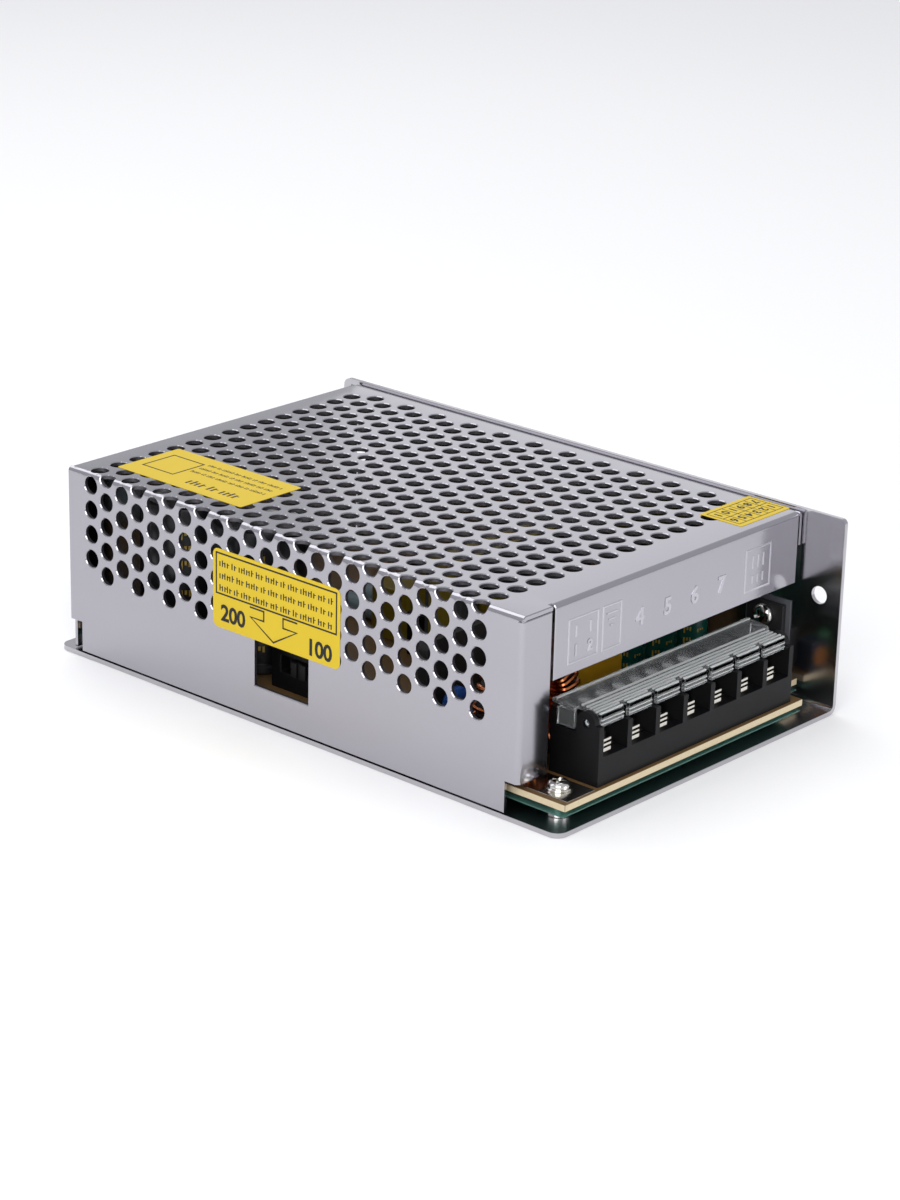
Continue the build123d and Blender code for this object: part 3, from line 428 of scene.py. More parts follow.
# Each finish: colour, second colour, metallic, roughness, size of its mottle and of its grain in mm, depth of the
# grain in mm, and what else sets it apart
FINISHES = {
    # Cold-rolled steel sheet, electrogalvanised: a cool satin mirror with a faint grain along the coil
    "rolled_zinc": ("#AAA8AF", "#B1AFB6", 1.0, 0.15, 25.0, 0.5, 0.0012,
                    dict(swing=0.03, stretch=(1.0, 0.08, 1.0))),
    # The crests of the pressed marks, painted brighter than the sheet round them as a painted highlight
    "painted_highlight_zinc": ("#C6C5CB", "#BDBCC2", 1.0, 0.3, 2.0, 0.3, 0.002, {}),
    # Bare fractured steel inside each punched hole: dull and dark beside the plated faces
    "punched_steel": ("#6E6C70", "#5C5A5E", 1.0, 0.5, 0.6, 0.15, 0.01, {}),
    # The same sheet where nothing has rubbed it: the floor and wall stay close to a mirror
    "bright_zinc": ("#B9B7BB", "#C0BEC2", 1.0, 0.2, 30.0, 0.6, 0.0008,
                    dict(swing=0.04, stretch=(1.0, 0.08, 1.0))),
    # Nickel-plated steel screws, rolled and tumbled: hard bright highlights
    "nickel_screw": ("#D9D8D4", "#CFCDC8", 1.0, 0.12, 3.0, 0.3, 0.002, {}),
    # Tinned brass strip, stamped: a warm white mirror with soft dips
    "bright_tin": ("#DCD8CE", "#D2CEC4", 1.0, 0.16, 4.0, 0.8, 0.004, {}),
    # Zinc-plated pressed steel washers: paler and duller than the screws
    "zinc_clamp": ("#CFCFCD", "#C4C5C4", 1.0, 0.26, 3.0, 0.4, 0.004, {}),
    # Printed polyester label film: one flat strong yellow with a soft sheen
    "label_yellow": ("#D6B80C", "#D0B209", 0.0, 0.5, 15.0, 0.3, 0.0006, {}),
    # Screen-printed black ink, a little duller than the film
    "label_ink": ("#080806", "#0D0C08", 0.0, 0.6, 5.0, 0.2, 0.001, {}),
    # Black glass-filled nylon, injection moulded: satin, with a very fine sparkle from the tool's texture
    "moulded_nylon": ("#09090B", "#0E0E10", 0.0, 0.46, 6.0, 0.25, 0.003,
                      dict(swing=0.08, Specular_IOR_Level=0.2)),
    # Clear polycarbonate, injection moulded: glossy, with a slight haze that blurs what lies under it
    "clear_polycarbonate": ("#F2F5F5", "#EEF2F3", 0.0, 0.06, 4.0, 0.4, 0.0,
                            dict(Transmission_Weight=0.95, IOR=1.45)),
    # The same polycarbonate in the lid's raised ribs and the strips across its fingers, made paler and less clear so
    # that they read as pale lines: painted highlights
    "polycarbonate_painted_highlight": ("#F6F8F8", "#F0F3F3", 0.0, 0.12, 2.0, 0.4, 0.0,
                             dict(Transmission_Weight=0.6, IOR=1.45)),
    # Thin polyester sheet, cut to shape: tinted green as a painted reflection of the board's green underside over the
    # bright floor, glossy at its edges
    "polyester_painted_reflection": ("#6F9C92", "#6A968C", 0.0, 0.08, 12.0, 8.0, 0.01,
                        dict(Transmission_Weight=0.6, IOR=1.3)),
    # Phenolic-paper board, component side: warm tan with the paper's faint mottle
    "laminate_top": ("#6E5534", "#634B2C", 0.0, 0.4, 2.5, 0.5, 0.004, {}),
    # The same board where it was sawn: pale, dry and fibrous
    "laminate_edge": ("#D3C4A6", "#C6B592", 0.0, 0.7, 0.8, 0.3, 0.02, {}),
    # Green solder mask on the underside, seen only in the floor's mirror: painted far paler than its own green, as
    # painted light for an underside that little light reaches; glossy and a little uneven
    "solder_mask_painted_light": ("#A2D6C6", "#B2E0D2", 0.0, 0.25, 3.0, 1.5, 0.02, {}),
    # Sintered ferrite: dark grey, matt and slightly gritty
    "sintered_ferrite": ("#3A3A3C", "#2E2E30", 0.0, 0.62, 2.0, 0.4, 0.02, {}),
    # Enamelled copper wire: an orange metal under a thin glossy varnish
    "enamelled_copper": ("#C8743C", "#B05E2C", 1.0, 0.22, 3.0, 0.6, 0.004,
                         dict(Coat_Weight=0.6, Coat_Roughness=0.1)),
    # Clear soda glass tube
    "fuse_tube": ("#F2F7F5", "#F2F7F5", 0.0, 0.02, 12.0, 0.4, 0.0,
                  dict(swing=0.01, Transmission_Weight=1.0, IOR=1.5)),
    # Dark dipped phenolic coat of the inrush disc: uneven and dull
    "dipped_dark": ("#1E2421", "#2A302C", 0.0, 0.5, 2.0, 0.7, 0.03, {}),
    # Blue dipped epoxy: glossy, thick and slightly lumpy
    "dipped_blue": ("#1F4F9E", "#2B5FB0", 0.0, 0.28, 3.0, 1.2, 0.03, {}),
    # Transfer-moulded black epoxy: matt, with a fine sand-blasted texture
    "moulded_epoxy": ("#1D1D1F", "#252527", 0.0, 0.55, 2.0, 0.2, 0.01, {}),
    # Shrunk PVC sleeve, black
    "sleeve_black": ("#17171B", "#202026", 0.0, 0.3, 8.0, 1.5, 0.008, {}),
    # Shrunk PVC sleeve, dark green
    "sleeve_green": ("#0F4238", "#145045", 0.0, 0.28, 8.0, 1.5, 0.008, {}),
    # Gold ink on the sleeves
    "gold_print": ("#C9A94A", "#BE9C3C", 0.3, 0.4, 2.0, 0.3, 0.001, {}),
    # Deep-drawn aluminium of the cans' tops: soft satin
    "drawn_aluminium": ("#C4C5C7", "#B9BABC", 1.0, 0.34, 5.0, 0.3, 0.003, {}),
    # Moulded PBT box of the film capacitor
    "boxed_yellow": ("#D9A520", "#CF9A18", 0.0, 0.4, 4.0, 0.3, 0.006, {}),
    # Polyester tape wound tight over dark wire: an olive yellow, glossy, with the turns showing faintly through
    "tape_yellow": ("#77661C", "#6A5A16", 0.0, 0.3, 3.0, 2.0, 0.02, {}),
    # Grey-blue flameproof coat
    "resistor_coat": ("#7A8A8F", "#6E7E84", 0.0, 0.5, 2.0, 0.5, 0.015, {}),
    # Glass-filled silicone pad: mid grey, matt, with its cloth just showing
    "silicone_pad": ("#5C5E63", "#54565B", 0.0, 0.75, 1.5, 0.4, 0.02, {}),
    # Moulded case of the trimmer: its blue darkened nearly to black as painted shade
    "moulded_blue_painted_shade": ("#1A2433", "#17202E", 0.0, 0.38, 2.0, 0.3, 0.005, {}),
    # Moulded rotor of the trimmer: tan, satin
    "moulded_tan": ("#A5692E", "#9C6129", 0.0, 0.42, 2.0, 0.3, 0.005, {}),
    # Green tinted epoxy, cast
    "lamp_epoxy": ("#5FC27A", "#56B770", 0.0, 0.12, 2.0, 0.4, 0.0, dict(Transmission_Weight=0.6, IOR=1.53)),
    # Matt white studio paper
    "backdrop_white": ("#FAFAFA", "#F8F8F8", 0.0, 0.9, 200.0, 2.0, 0.0, {}),
}
MADE = {}


def finishes(names):
    """The named materials, each made once."""
    for name in names:
        if name not in MADE:
            *row, more = FINISHES[name]
            MADE[name] = surface(name, *row, **more)
    return [MADE[name] for name in names]


# Sizes and colours that a user would change

def length(name, text, value):
    """A length property; its default is given in millimetres."""
    return FloatProperty(name=name, description=text, default=value * MM, min=0.0, unit="LENGTH", precision=5)


class CoverSizes(bpy.types.PropertyGroup):
    """The perforated cover, one folded sheet."""
    sheet: length("Sheet", "Thickness of the cover's sheet", 1.0)
    bend: length("Bend", "Outside radius of the cover's folds", 1.2)
    hole: length("Hole", "Diameter of the perforation", 4.2)
    pitch: length("Pitch", "Distance between neighbouring holes", 6.0)
    rim: length("Rim", "Punched round on the edges of the sheet", 0.2)
    return_width: length("Return", "Width of the strip folded round the front left corner", 9.5)
    slit: length("Slit", "Slit between that strip and the front flange", 1.0)
    flange: length("Flange", "Height of the front flange", 17.0)
    lip: length("Lip", "Height of the lip along the side wall", 8.0)
    notch_length: length("Notch length", "Length of the cut-outs at the foot of the left wall", 3.8)
    notch_top: length("Notch top", "Height of the cut-outs' upper edge above the table", 8.7)
    window_length: length("Window length", "Length of the selector's window", 16.8)
    window_height: length("Window height", "Height of the selector's window", 11.0)
    window_y: length("Window place", "Middle of the window along the case", 3.7)
    window_bottom: length("Window sill", "Height of the window's lower edge", 9.2)
    first_column: length("First column", "First column of holes from the back edge", 7.7)
    columns: IntProperty(name="Columns", description="Columns of holes along the case", default=24, min=1)
    side_rows: IntProperty(name="Side rows", description="Half pitches of holes down the left wall", default=8)
    top_rows: IntProperty(name="Top rows", description="Half pitches of holes across the top", default=30)
    facets: IntProperty(name="Facets", description="Straight edges round each hole", default=28, min=8)


class ChassisSizes(bpy.types.PropertyGroup):
    """The folded floor and right wall."""
    sheet: length("Sheet", "Thickness of the chassis sheet", 1.2)
    bend: length("Bend", "Outside radius of the chassis fold", 2.4)
    floor_corner: length("Floor corner", "Radius of the floor's free corners", 2.8)
    front_corner: length("Front corner", "Radius of the wall's front upper corner", 1.2)
    back_corner: length("Back corner", "Radius of the wall's back upper corner", 2.0)
    hole: length("Hole", "Diameter of the mounting holes", 4.2)
    hole_x: length("Hole across", "Floor holes from the middle line across the case", 35.0)
    hole_y: length("Hole along", "Floor holes from the middle along the case", 58.5)
    wall_hole_y: length("Wall hole along", "Wall holes from the middle along the case", 71.7)
    wall_hole_z: length("Wall hole height", "Height of the wall holes", 27.7)
    tab_y: length("Tab place", "Floor tabs from the middle along the case", 48.0)
    tab_length: length("Tab length", "Length of each floor tab", 14.0)
    tab_top: length("Tab top", "Height of the floor tabs", 8.2)
    rim: length("Rim", "Small round on the sheet's edges", 0.15)


class CoilSizes(bpy.types.PropertyGroup):
    """The wound parts."""
    choke_wire: length("Choke wire", "Diameter of the line choke's wire", 1.2)
    choke_gap: FloatProperty(name="Choke gap", description="Bare angle between the choke's two windings",
                             default=math.radians(22), subtype="ANGLE")
    output_wire: length("Output wire", "Diameter of the output choke's wire", 1.2)


class LabelSizes(bpy.types.PropertyGroup):
    """The three stickers and their print."""
    film: length("Film", "Thickness of a sticker", 0.12)
    ink: length("Ink", "Thickness of the print", 0.02)
    corner: length("Corner", "Corner radius of the side sticker", 1.6)
    top_corner: length("Top corner", "Corner radius of the two stickers on the top", 0.5)
    date_length: length("Date sticker", "Length of the front sticker across the case", 18.2)
    date_width: length("Date width", "Width of the front sticker along the case", 11.8)
    line: length("Line", "Width of the printed frames", 0.4)


class LidSizes(bpy.types.PropertyGroup):
    """The clear lid over the terminals."""
    front: FloatProperty(name="Front", description="Place of the lid's front face along the case",
                         default=-74.3 * MM, unit="LENGTH", precision=5)
    thick: length("Thickness", "Thickness of the plate", 0.8)
    lip: length("Lip", "Thickness of the front fingers", 0.9)
    lip_foot: length("Lip foot", "Height of the fingers' lower edge", 19.6)
    rib: length("Rib", "Width of the long ribs", 0.5)
    rib_height: length("Rib height", "Height of the long ribs", 0.3)
    slit: length("Slit", "Width of the slit over each divider", 1.8)


class StudioSettings(bpy.types.PropertyGroup):
    """Camera, floor and light."""
    camera: FloatVectorProperty(name="Camera", description="Place of the camera", subtype="TRANSLATION",
                                default=(-0.52381, -0.4670, 0.28166))
    turn: FloatProperty(name="Turn", description="Direction of view, from +Y towards +X", subtype="ANGLE",
                        default=math.radians(48.43))
    tilt: FloatProperty(name="Tilt", description="How far the view looks down", subtype="ANGLE",
                        default=math.radians(20.45))
    roll: FloatProperty(name="Roll", description="How far the picture is turned", subtype="ANGLE",
                        default=math.radians(1.36))
    lens: FloatProperty(name="Lens", description="Focal length on a 36 mm wide picture", default=129.87)
    sky: FloatProperty(name="Fill light", description="Brightness of the room", default=0.65, min=0.0)
    key: FloatProperty(name="Key light", description="Power of the large overhead light", default=3.8, min=0.0)
    side: FloatProperty(name="Side light", description="Power of the side light", default=2.6, min=0.0)
    far: FloatProperty(name="Far light", description="Power of the soft light that the top mirrors", default=1.15,
                       min=0.0)
    low: FloatProperty(name="Low light", description="Power of the light under the board's front", default=0.7,
                       min=0.0)


# Piece builders

def cover_fold(sizes):
    """Give back the function that folds the cover's flat pattern, and the pattern's main lines."""
    low, high = span("cover")
    bend = sizes.bend / MM
    arc = bend * math.pi / 2
    knee = high.z - bend
    flat = high.x - low.x - 2 * bend
    front, back = low.y + bend, high.y - bend
    lines = {"arc": arc, "knee": knee, "flat": flat, "front": front, "back": back, "low": low, "high": high,
             "steps": 6, "bend": bend}

    def section(s, straight):
        """Point and outward direction across the case: x, z, and the normal's x and z."""
        if straight:
            return low.x + bend + s - arc, high.z, 0.0, 1.0
        if s <= 0:
            return low.x, knee + s, -1.0, 0.0
        if s < arc:
            a = s / bend
            return low.x + bend - bend * math.cos(a), knee + bend * math.sin(a), -math.cos(a), math.sin(a)
        if s <= arc + flat:
            return low.x + bend + s - arc, high.z, 0.0, 1.0
        if s < 2 * arc + flat:
            a = (s - arc - flat) / bend
            return high.x - bend + bend * math.sin(a), knee + bend * math.cos(a), math.sin(a), math.cos(a)
        return high.x, knee - (s - 2 * arc - flat), 1.0, 0.0

    def where(s, t, depth):
        """A point of the flat pattern, folded."""
        past, sign = 0.0, 0.0
        if t < front and (s < 0 or arc + 8.3 < s < arc + flat):
            past, sign = front - t, -1.0
        if t > back and (arc + 0.1 < s < arc + flat - 0.1 or t > back + bend + 0.5):
            past, sign = t - back, 1.0
        x, z, nx, nz = section(s, past > bend + 0.5 and s > -1 and sign > 0)
        if not past:
            return Vector((x - nx * depth, t, z - nz * depth))
        a = min(past / bend, math.pi / 2)
        inward = bend * (1 - math.cos(a)) + max(past - arc, 0.0) + depth * math.cos(a)
        y = (front if sign < 0 else back) + sign * (bend - depth) * math.sin(a)
        return Vector((x - nx * inward, y, z - nz * inward))
    return where, lines


def across_top(lines, x):
    """Where a place across the top lies on the flat pattern."""
    return lines["arc"] + x - lines["low"].x - lines["bend"]


def cover_outline(sizes, lines):
    """The cover's flat outline, counter-clockwise, with points where it crosses the folds."""
    low, high, knee, arc = lines["low"], lines["high"], lines["knee"], lines["arc"]
    front, back, flat, bend = lines["front"], lines["back"], lines["flat"], lines["bend"]
    foot, notch = low.z - knee, sizes.notch_top / MM - knee
    notch_y0, notch_y1 = low.y + sizes.notch_length / MM, high.y - sizes.notch_length / MM
    relief = 0.05
    return_out = front - arc - (sizes.return_width / MM - bend)
    slit0 = arc + sizes.return_width / MM - bend
    slit1 = slit0 + sizes.slit / MM
    flange_out = front - arc - (sizes.flange / MM - bend)
    flange_end = arc + flat - relief
    lip = 2 * arc + flat + sizes.lip / MM - bend
    widen = back + arc + 1.0
    back_out = back + arc + knee - low.z
    corners = [
        (foot, notch_y0), (notch, notch_y0), (notch, return_out), (-relief, return_out), (-relief, front),
        (0, front), (0, low.y), (slit0, low.y), (slit0, front), (slit1, front), (slit1, flange_out),
        (flange_end, flange_out), (flange_end, front), (arc + flat, front), (arc + flat, low.y),
        (lip, low.y), (lip, back), (flange_end, back), (flange_end, widen), (arc + flat + bend - 0.3, widen),
        (arc + flat + bend - 0.3, back_out), (arc - bend + 1.2, back_out), (arc - bend + 1.2, widen),
        (arc + relief, widen), (arc + relief, back), (arc, back), (arc, high.y), (notch, high.y),
        (notch, notch_y1), (foot, notch_y1)]
    creases_s = [k * arc / lines["steps"] for k in range(lines["steps"] + 1)]
    creases_s += [arc + flat + c for c in creases_s]
    creases_t = [front - k * arc / lines["steps"] for k in range(lines["steps"] + 1)]
    creases_t += [back + k * arc / lines["steps"] for k in range(lines["steps"] + 1)]
    points = []
    for k, (s0, t0) in enumerate(corners):
        s1, t1 = corners[(k + 1) % len(corners)]
        points.append((s0, t0))
        if t0 == t1:
            cuts = sorted((c for c in creases_s if min(s0, s1) + 0.05 < c < max(s0, s1) - 0.05), reverse=s1 < s0)
            points += [(c, t0) for c in cuts]
        else:
            cuts = sorted((c for c in creases_t if min(t0, t1) + 0.05 < c < max(t0, t1) - 0.05), reverse=t1 < t0)
            points += [(s0, c) for c in cuts]
    return points


def under_label(node, u, v, reach, axes):
    """True where a hole lies wholly under a sticker."""
    low, high = span(node)
    a, b = axes
    return low[a] < u - reach and u + reach < high[a] and low[b] < v - reach and v + reach < high[b]


def cover_holes(sizes, lines):
    """Middles of the round holes on the flat pattern."""
    low, high, knee, arc = lines["low"], lines["high"], lines["knee"], lines["arc"]
    pitch, reach = sizes.pitch / MM, sizes.hole / MM / 2
    middles = []
    for i in range(sizes.columns):
        y = high.y - sizes.first_column / MM - i * pitch * math.sqrt(3) / 2
        for j in range(1, sizes.side_rows + 1):
            z = high.z - j * pitch / 2
            if (i + j) % 2 and not under_label("side_sticker", y, z, reach, (1, 2)):
                middles.append((z - knee, y))
        for n in range(1, sizes.top_rows + 1):
            x = low.x + n * pitch / 2
            hidden = any(under_label(node, x, y, reach, (0, 1)) for node in ("back_sticker", "front_sticker"))
            if (i + n) % 2 and not hidden:
                middles.append((across_top(lines, x), y))
        if i % 2:
            middles.append((arc / 2, y))
    return middles


def fold_points(sizes, lines, holes):
    """Extra points that keep the folds round, clear of the holes."""
    arc, steps = lines["arc"], lines["steps"]
    front, back, flat, knee = lines["front"], lines["back"], lines["flat"], lines["knee"]
    reach = sizes.hole / MM / 2 + 0.35
    on_fold = [hole for hole in holes if -2 * reach < hole[0] < arc + 2 * reach]
    points = []
    rows = int((back - front) / 1.5)
    for k in range(steps + 1):
        for m in range(rows + 1):
            t = front + 0.5 + (back - front - 1.0) * m / rows
            s = arc * k / steps
            if all((s - hs) ** 2 + (t - ht) ** 2 > reach ** 2 for hs, ht in on_fold):
                points.append((s, t))
            points.append((arc + flat + s, t))
    flange0 = arc + sizes.return_width / MM - lines["bend"] + sizes.slit / MM
    spans = ((flange0, arc + flat - 0.4, front, -1), (arc + 0.4, arc + flat - 0.4, back, 1),
             (sizes.notch_top / MM - knee, -0.4, front, -1))
    for s0, s1, crease, sign in spans:
        count = int((s1 - s0) / 1.5)
        for k in range(steps + 1):
            for m in range(count):
                points.append((s0 + (s1 - s0) * (m + 0.5) / count, crease + sign * (arc * k / steps + 0.001)))
    return points


def lip_holes(lines):
    """Screw holes in the lip along the side wall, where the cover's screws are."""
    middles = []
    for low, high in solids_of("cover_screws"):
        z = (low.z + high.z) / 2
        s = 2 * lines["arc"] + lines["flat"] + lines["knee"] - z
        middles.append((s, (low.y + high.y) / 2))
    return middles


class POWER_OT_cover(bpy.types.Operator):
    """Fold the perforated cover from one sheet with round punched holes"""
    bl_idname = "power.cover"
    bl_label = "Perforated cover"

    def pressed_marks(self, bm, face):
        """Plain frames, bars and way numbers pressed into the flange."""
        wide, tall, crown = 0.5, 0.12, 0.6

        def stroke(u0, v0, u1, v1):
            add_stroke(bm, face, [(u0, v0), (u1, v1)], wide, tall, closed=False, crown=crown)
        for u0, u1 in ((-34.0, -24.5), (-22.8, -16.8), (27.0, 36.0)):
            add_stroke(bm, face, [(u0, 32.0), (u1, 32.0), (u1, 41.8), (u0, 41.8)], wide, tall, crown=crown)
        for way, u in enumerate((-10.3, -0.8, 8.7, 18.2), 4):
            add_numerals(bm, str(way), face, u - 1.3, 34.6, 3.9, tall)
        for way, u in enumerate((-31.6, -26.9), 1):
            stroke(u, 37.6, u, 40.2)
            add_numerals(bm, str(way), face, u - 0.9, 33.4, 2.6, tall)
        for v, half in ((40.0, 1.8), (38.6, 1.2), (37.2, 0.6)):
            stroke(-19.8 - half, v, -19.8 + half, v)
        for u in (29.6, 31.5, 33.4):
            stroke(u, 37.2, u, 40.2)
            stroke(u, 33.6, u, 35.6)

    def execute(self, context):
        sizes = context.scene.power_cover
        where, lines = cover_fold(sizes)
        holes = cover_holes(sizes, lines)
        loops = [cover_outline(sizes, lines)]
        loops += [circle(s, t, sizes.hole / MM / 2, sizes.facets) for s, t in holes]
        loops += [circle(s, t, 1.55, 16) for s, t in lip_holes(lines)]
        y, half = sizes.window_y / MM, sizes.window_length / MM / 2
        z0 = sizes.window_bottom / MM - lines["knee"]
        z1 = z0 + sizes.window_height / MM
        loops.append([(z0, y - half), (z0, y + half), (z1, y + half), (z1, y - half)])
        bm = bmesh.new()
        add_sheet(bm, loops, fold_points(sizes, lines, holes), where, sizes.sheet / MM, sizes.rim / MM, 0, 1)
        put("perforated_cover", bm, ["rolled_zinc", "punched_steel"], stands_for=("cover",),
            smooth=30.0)
        bm = bmesh.new()
        self.pressed_marks(bm, facing((0, lines["low"].y, 0), (1, 0, 0), (0, 0, 1)))
        # The pressed marks take a paler zinc: a painted highlight along their crests.
        put("flange_marks", bm, ["painted_highlight_zinc"], smooth=30.0)
        return {"FINISHED"}


class POWER_OT_chassis(bpy.types.Operator):
    """Fold the floor and the side wall from one sheet"""
    bl_idname = "power.chassis"
    bl_label = "Chassis"

    def execute(self, context):
        sizes = context.scene.power_chassis
        low, high = span("chassis")
        bend, sheet = sizes.bend / MM, sizes.sheet / MM
        arc, flat = bend * math.pi / 2, high.x - low.x - bend
        reach = flat + arc + high.z - bend

        def where(s, t, depth):
            if s <= flat:
                return Vector((low.x + s, -t, depth))
            if s < flat + arc:
                a = (s - flat) / bend
                return Vector((high.x - bend + (bend - depth) * math.sin(a), -t, bend - (bend - depth) * math.cos(a)))
            return Vector((high.x - depth, -t, bend + s - flat - arc))
        creases = [flat + arc * k / 6 for k in range(7)]
        outline = self.corner(0, low.y, sizes.floor_corner / MM, 180)
        outline += [(s, low.y) for s in creases]
        outline += self.corner(reach, low.y, sizes.back_corner / MM, 270)
        outline += self.corner(reach, high.y, sizes.front_corner / MM, 0)
        outline += [(s, high.y) for s in reversed(creases)]
        outline += self.corner(0, high.y, sizes.floor_corner / MM, 90)
        hole = sizes.hole / MM / 2
        loops = [outline]
        for x in (-sizes.hole_x / MM, sizes.hole_x / MM):
            loops += [circle(x - low.x, y, hole, 28) for y in (-sizes.hole_y / MM, sizes.hole_y / MM)]
        up = flat + arc - bend
        loops += [circle(up + sizes.wall_hole_z / MM, y, hole, 28)
                  for y in (-sizes.wall_hole_y / MM, sizes.wall_hole_y / MM)]
        for node in ("cover_screws", "device_screws"):
            for a, b in solids_of(node):
                loops.append(circle(up + (a.z + b.z) / 2, -(a.y + b.y) / 2, 1.5, 20))
        extra = [(s, low.y + 1.5 + 2 * k) for s in creases for k in range(int((high.y - low.y - 2) / 2))]
        bm = bmesh.new()
        add_sheet(bm, loops, extra, where, sheet, sizes.rim / MM)
        for y in (-sizes.tab_y / MM, sizes.tab_y / MM):
            half = sizes.tab_length / MM / 2
            add_block(bm, (low.x + 1.3, y - half, sheet - 0.1), (low.x + 2.5, y + half, sizes.tab_top / MM), 0.2)
        put("folded_chassis", bm, ["bright_zinc"], stands_for=("chassis",), smooth=30.0)
        return {"FINISHED"}

    def corner(self, s, t, radius, start):
        """A rounded corner of the flat pattern, from one edge to the next."""
        cs = s + radius if s == 0 else s - radius
        ct = t + radius if t < 0 else t - radius
        return [(cs + radius * math.cos(a), ct + radius * math.sin(a))
                for a in (math.radians(start + 15 * k) for k in range(7))]


def add_bar(bm, place, u0, u1, v0, v1, thickness):
    """A thin printed or raised bar on a flat face."""
    add_block(bm, (min(u0, u1), min(v0, v1), 0.0), (max(u0, u1), max(v0, v1), thickness), place=place)


def add_stroke(bm, place, points, width, thickness, closed=True, crown=1.0):
    """A line of constant width along points, mitred at its corners, its crown narrower than its foot."""
    count = len(points)
    left_side, right_side = [], []
    for i, point in enumerate(points):
        here = Vector(point)
        before = Vector(points[i - 1]) if (i or closed) else None
        after = Vector(points[(i + 1) % count]) if (i < count - 1 or closed) else None
        a = (here - before).normalized() if before is not None else (after - here).normalized()
        b = (after - here).normalized() if after is not None else a
        na, nb = Vector((-a.y, a.x)), Vector((-b.y, b.x))
        shift = (na + nb) / max(1 + na.dot(nb), 0.25) * (width / 2)
        left_side.append((here + shift, here + shift * crown))
        right_side.append((here - shift, here - shift * crown))
    rows = []
    for (p, p_top), (q, q_top) in zip(left_side, right_side):
        rows.append([bm.verts.new(place @ Vector((*p, 0.0))), bm.verts.new(place @ Vector((*q, 0.0))),
                     bm.verts.new(place @ Vector((*q_top, thickness))),
                     bm.verts.new(place @ Vector((*p_top, thickness)))])
    pairs = list(zip(rows, rows[1:])) + ([(rows[-1], rows[0])] if closed else [])
    for a, b in pairs:
        for k in range(4):
            m = (k + 1) % 4
            bm.faces.new((a[k], a[m], b[m], b[k]))
    if not closed:
        bm.faces.new((rows[0][3], rows[0][2], rows[0][1], rows[0][0]))
        bm.faces.new(rows[-1])


def add_numerals(bm, text, place, u, v, height, thickness):
    """Plain numerals standing on a flat face, from Blender's own font."""
    curve = bpy.data.curves.new("numerals", "FONT")
    curve.body = text
    curve.size = height * 1.38
    curve.extrude = thickness / 2
    curve.offset = height * 0.04
    curve.space_character = 0.95
    curve.resolution_u = 3
    holder = link("numerals", curve)
    bpy.context.view_layer.update()
    mesh = bpy.data.meshes.new_from_object(holder.evaluated_get(bpy.context.evaluated_depsgraph_get()))
    add_mesh(bm, mesh, place @ Matrix.Translation((u, v, thickness / 2)))
    bpy.data.objects.remove(holder)
    bpy.data.curves.remove(curve)


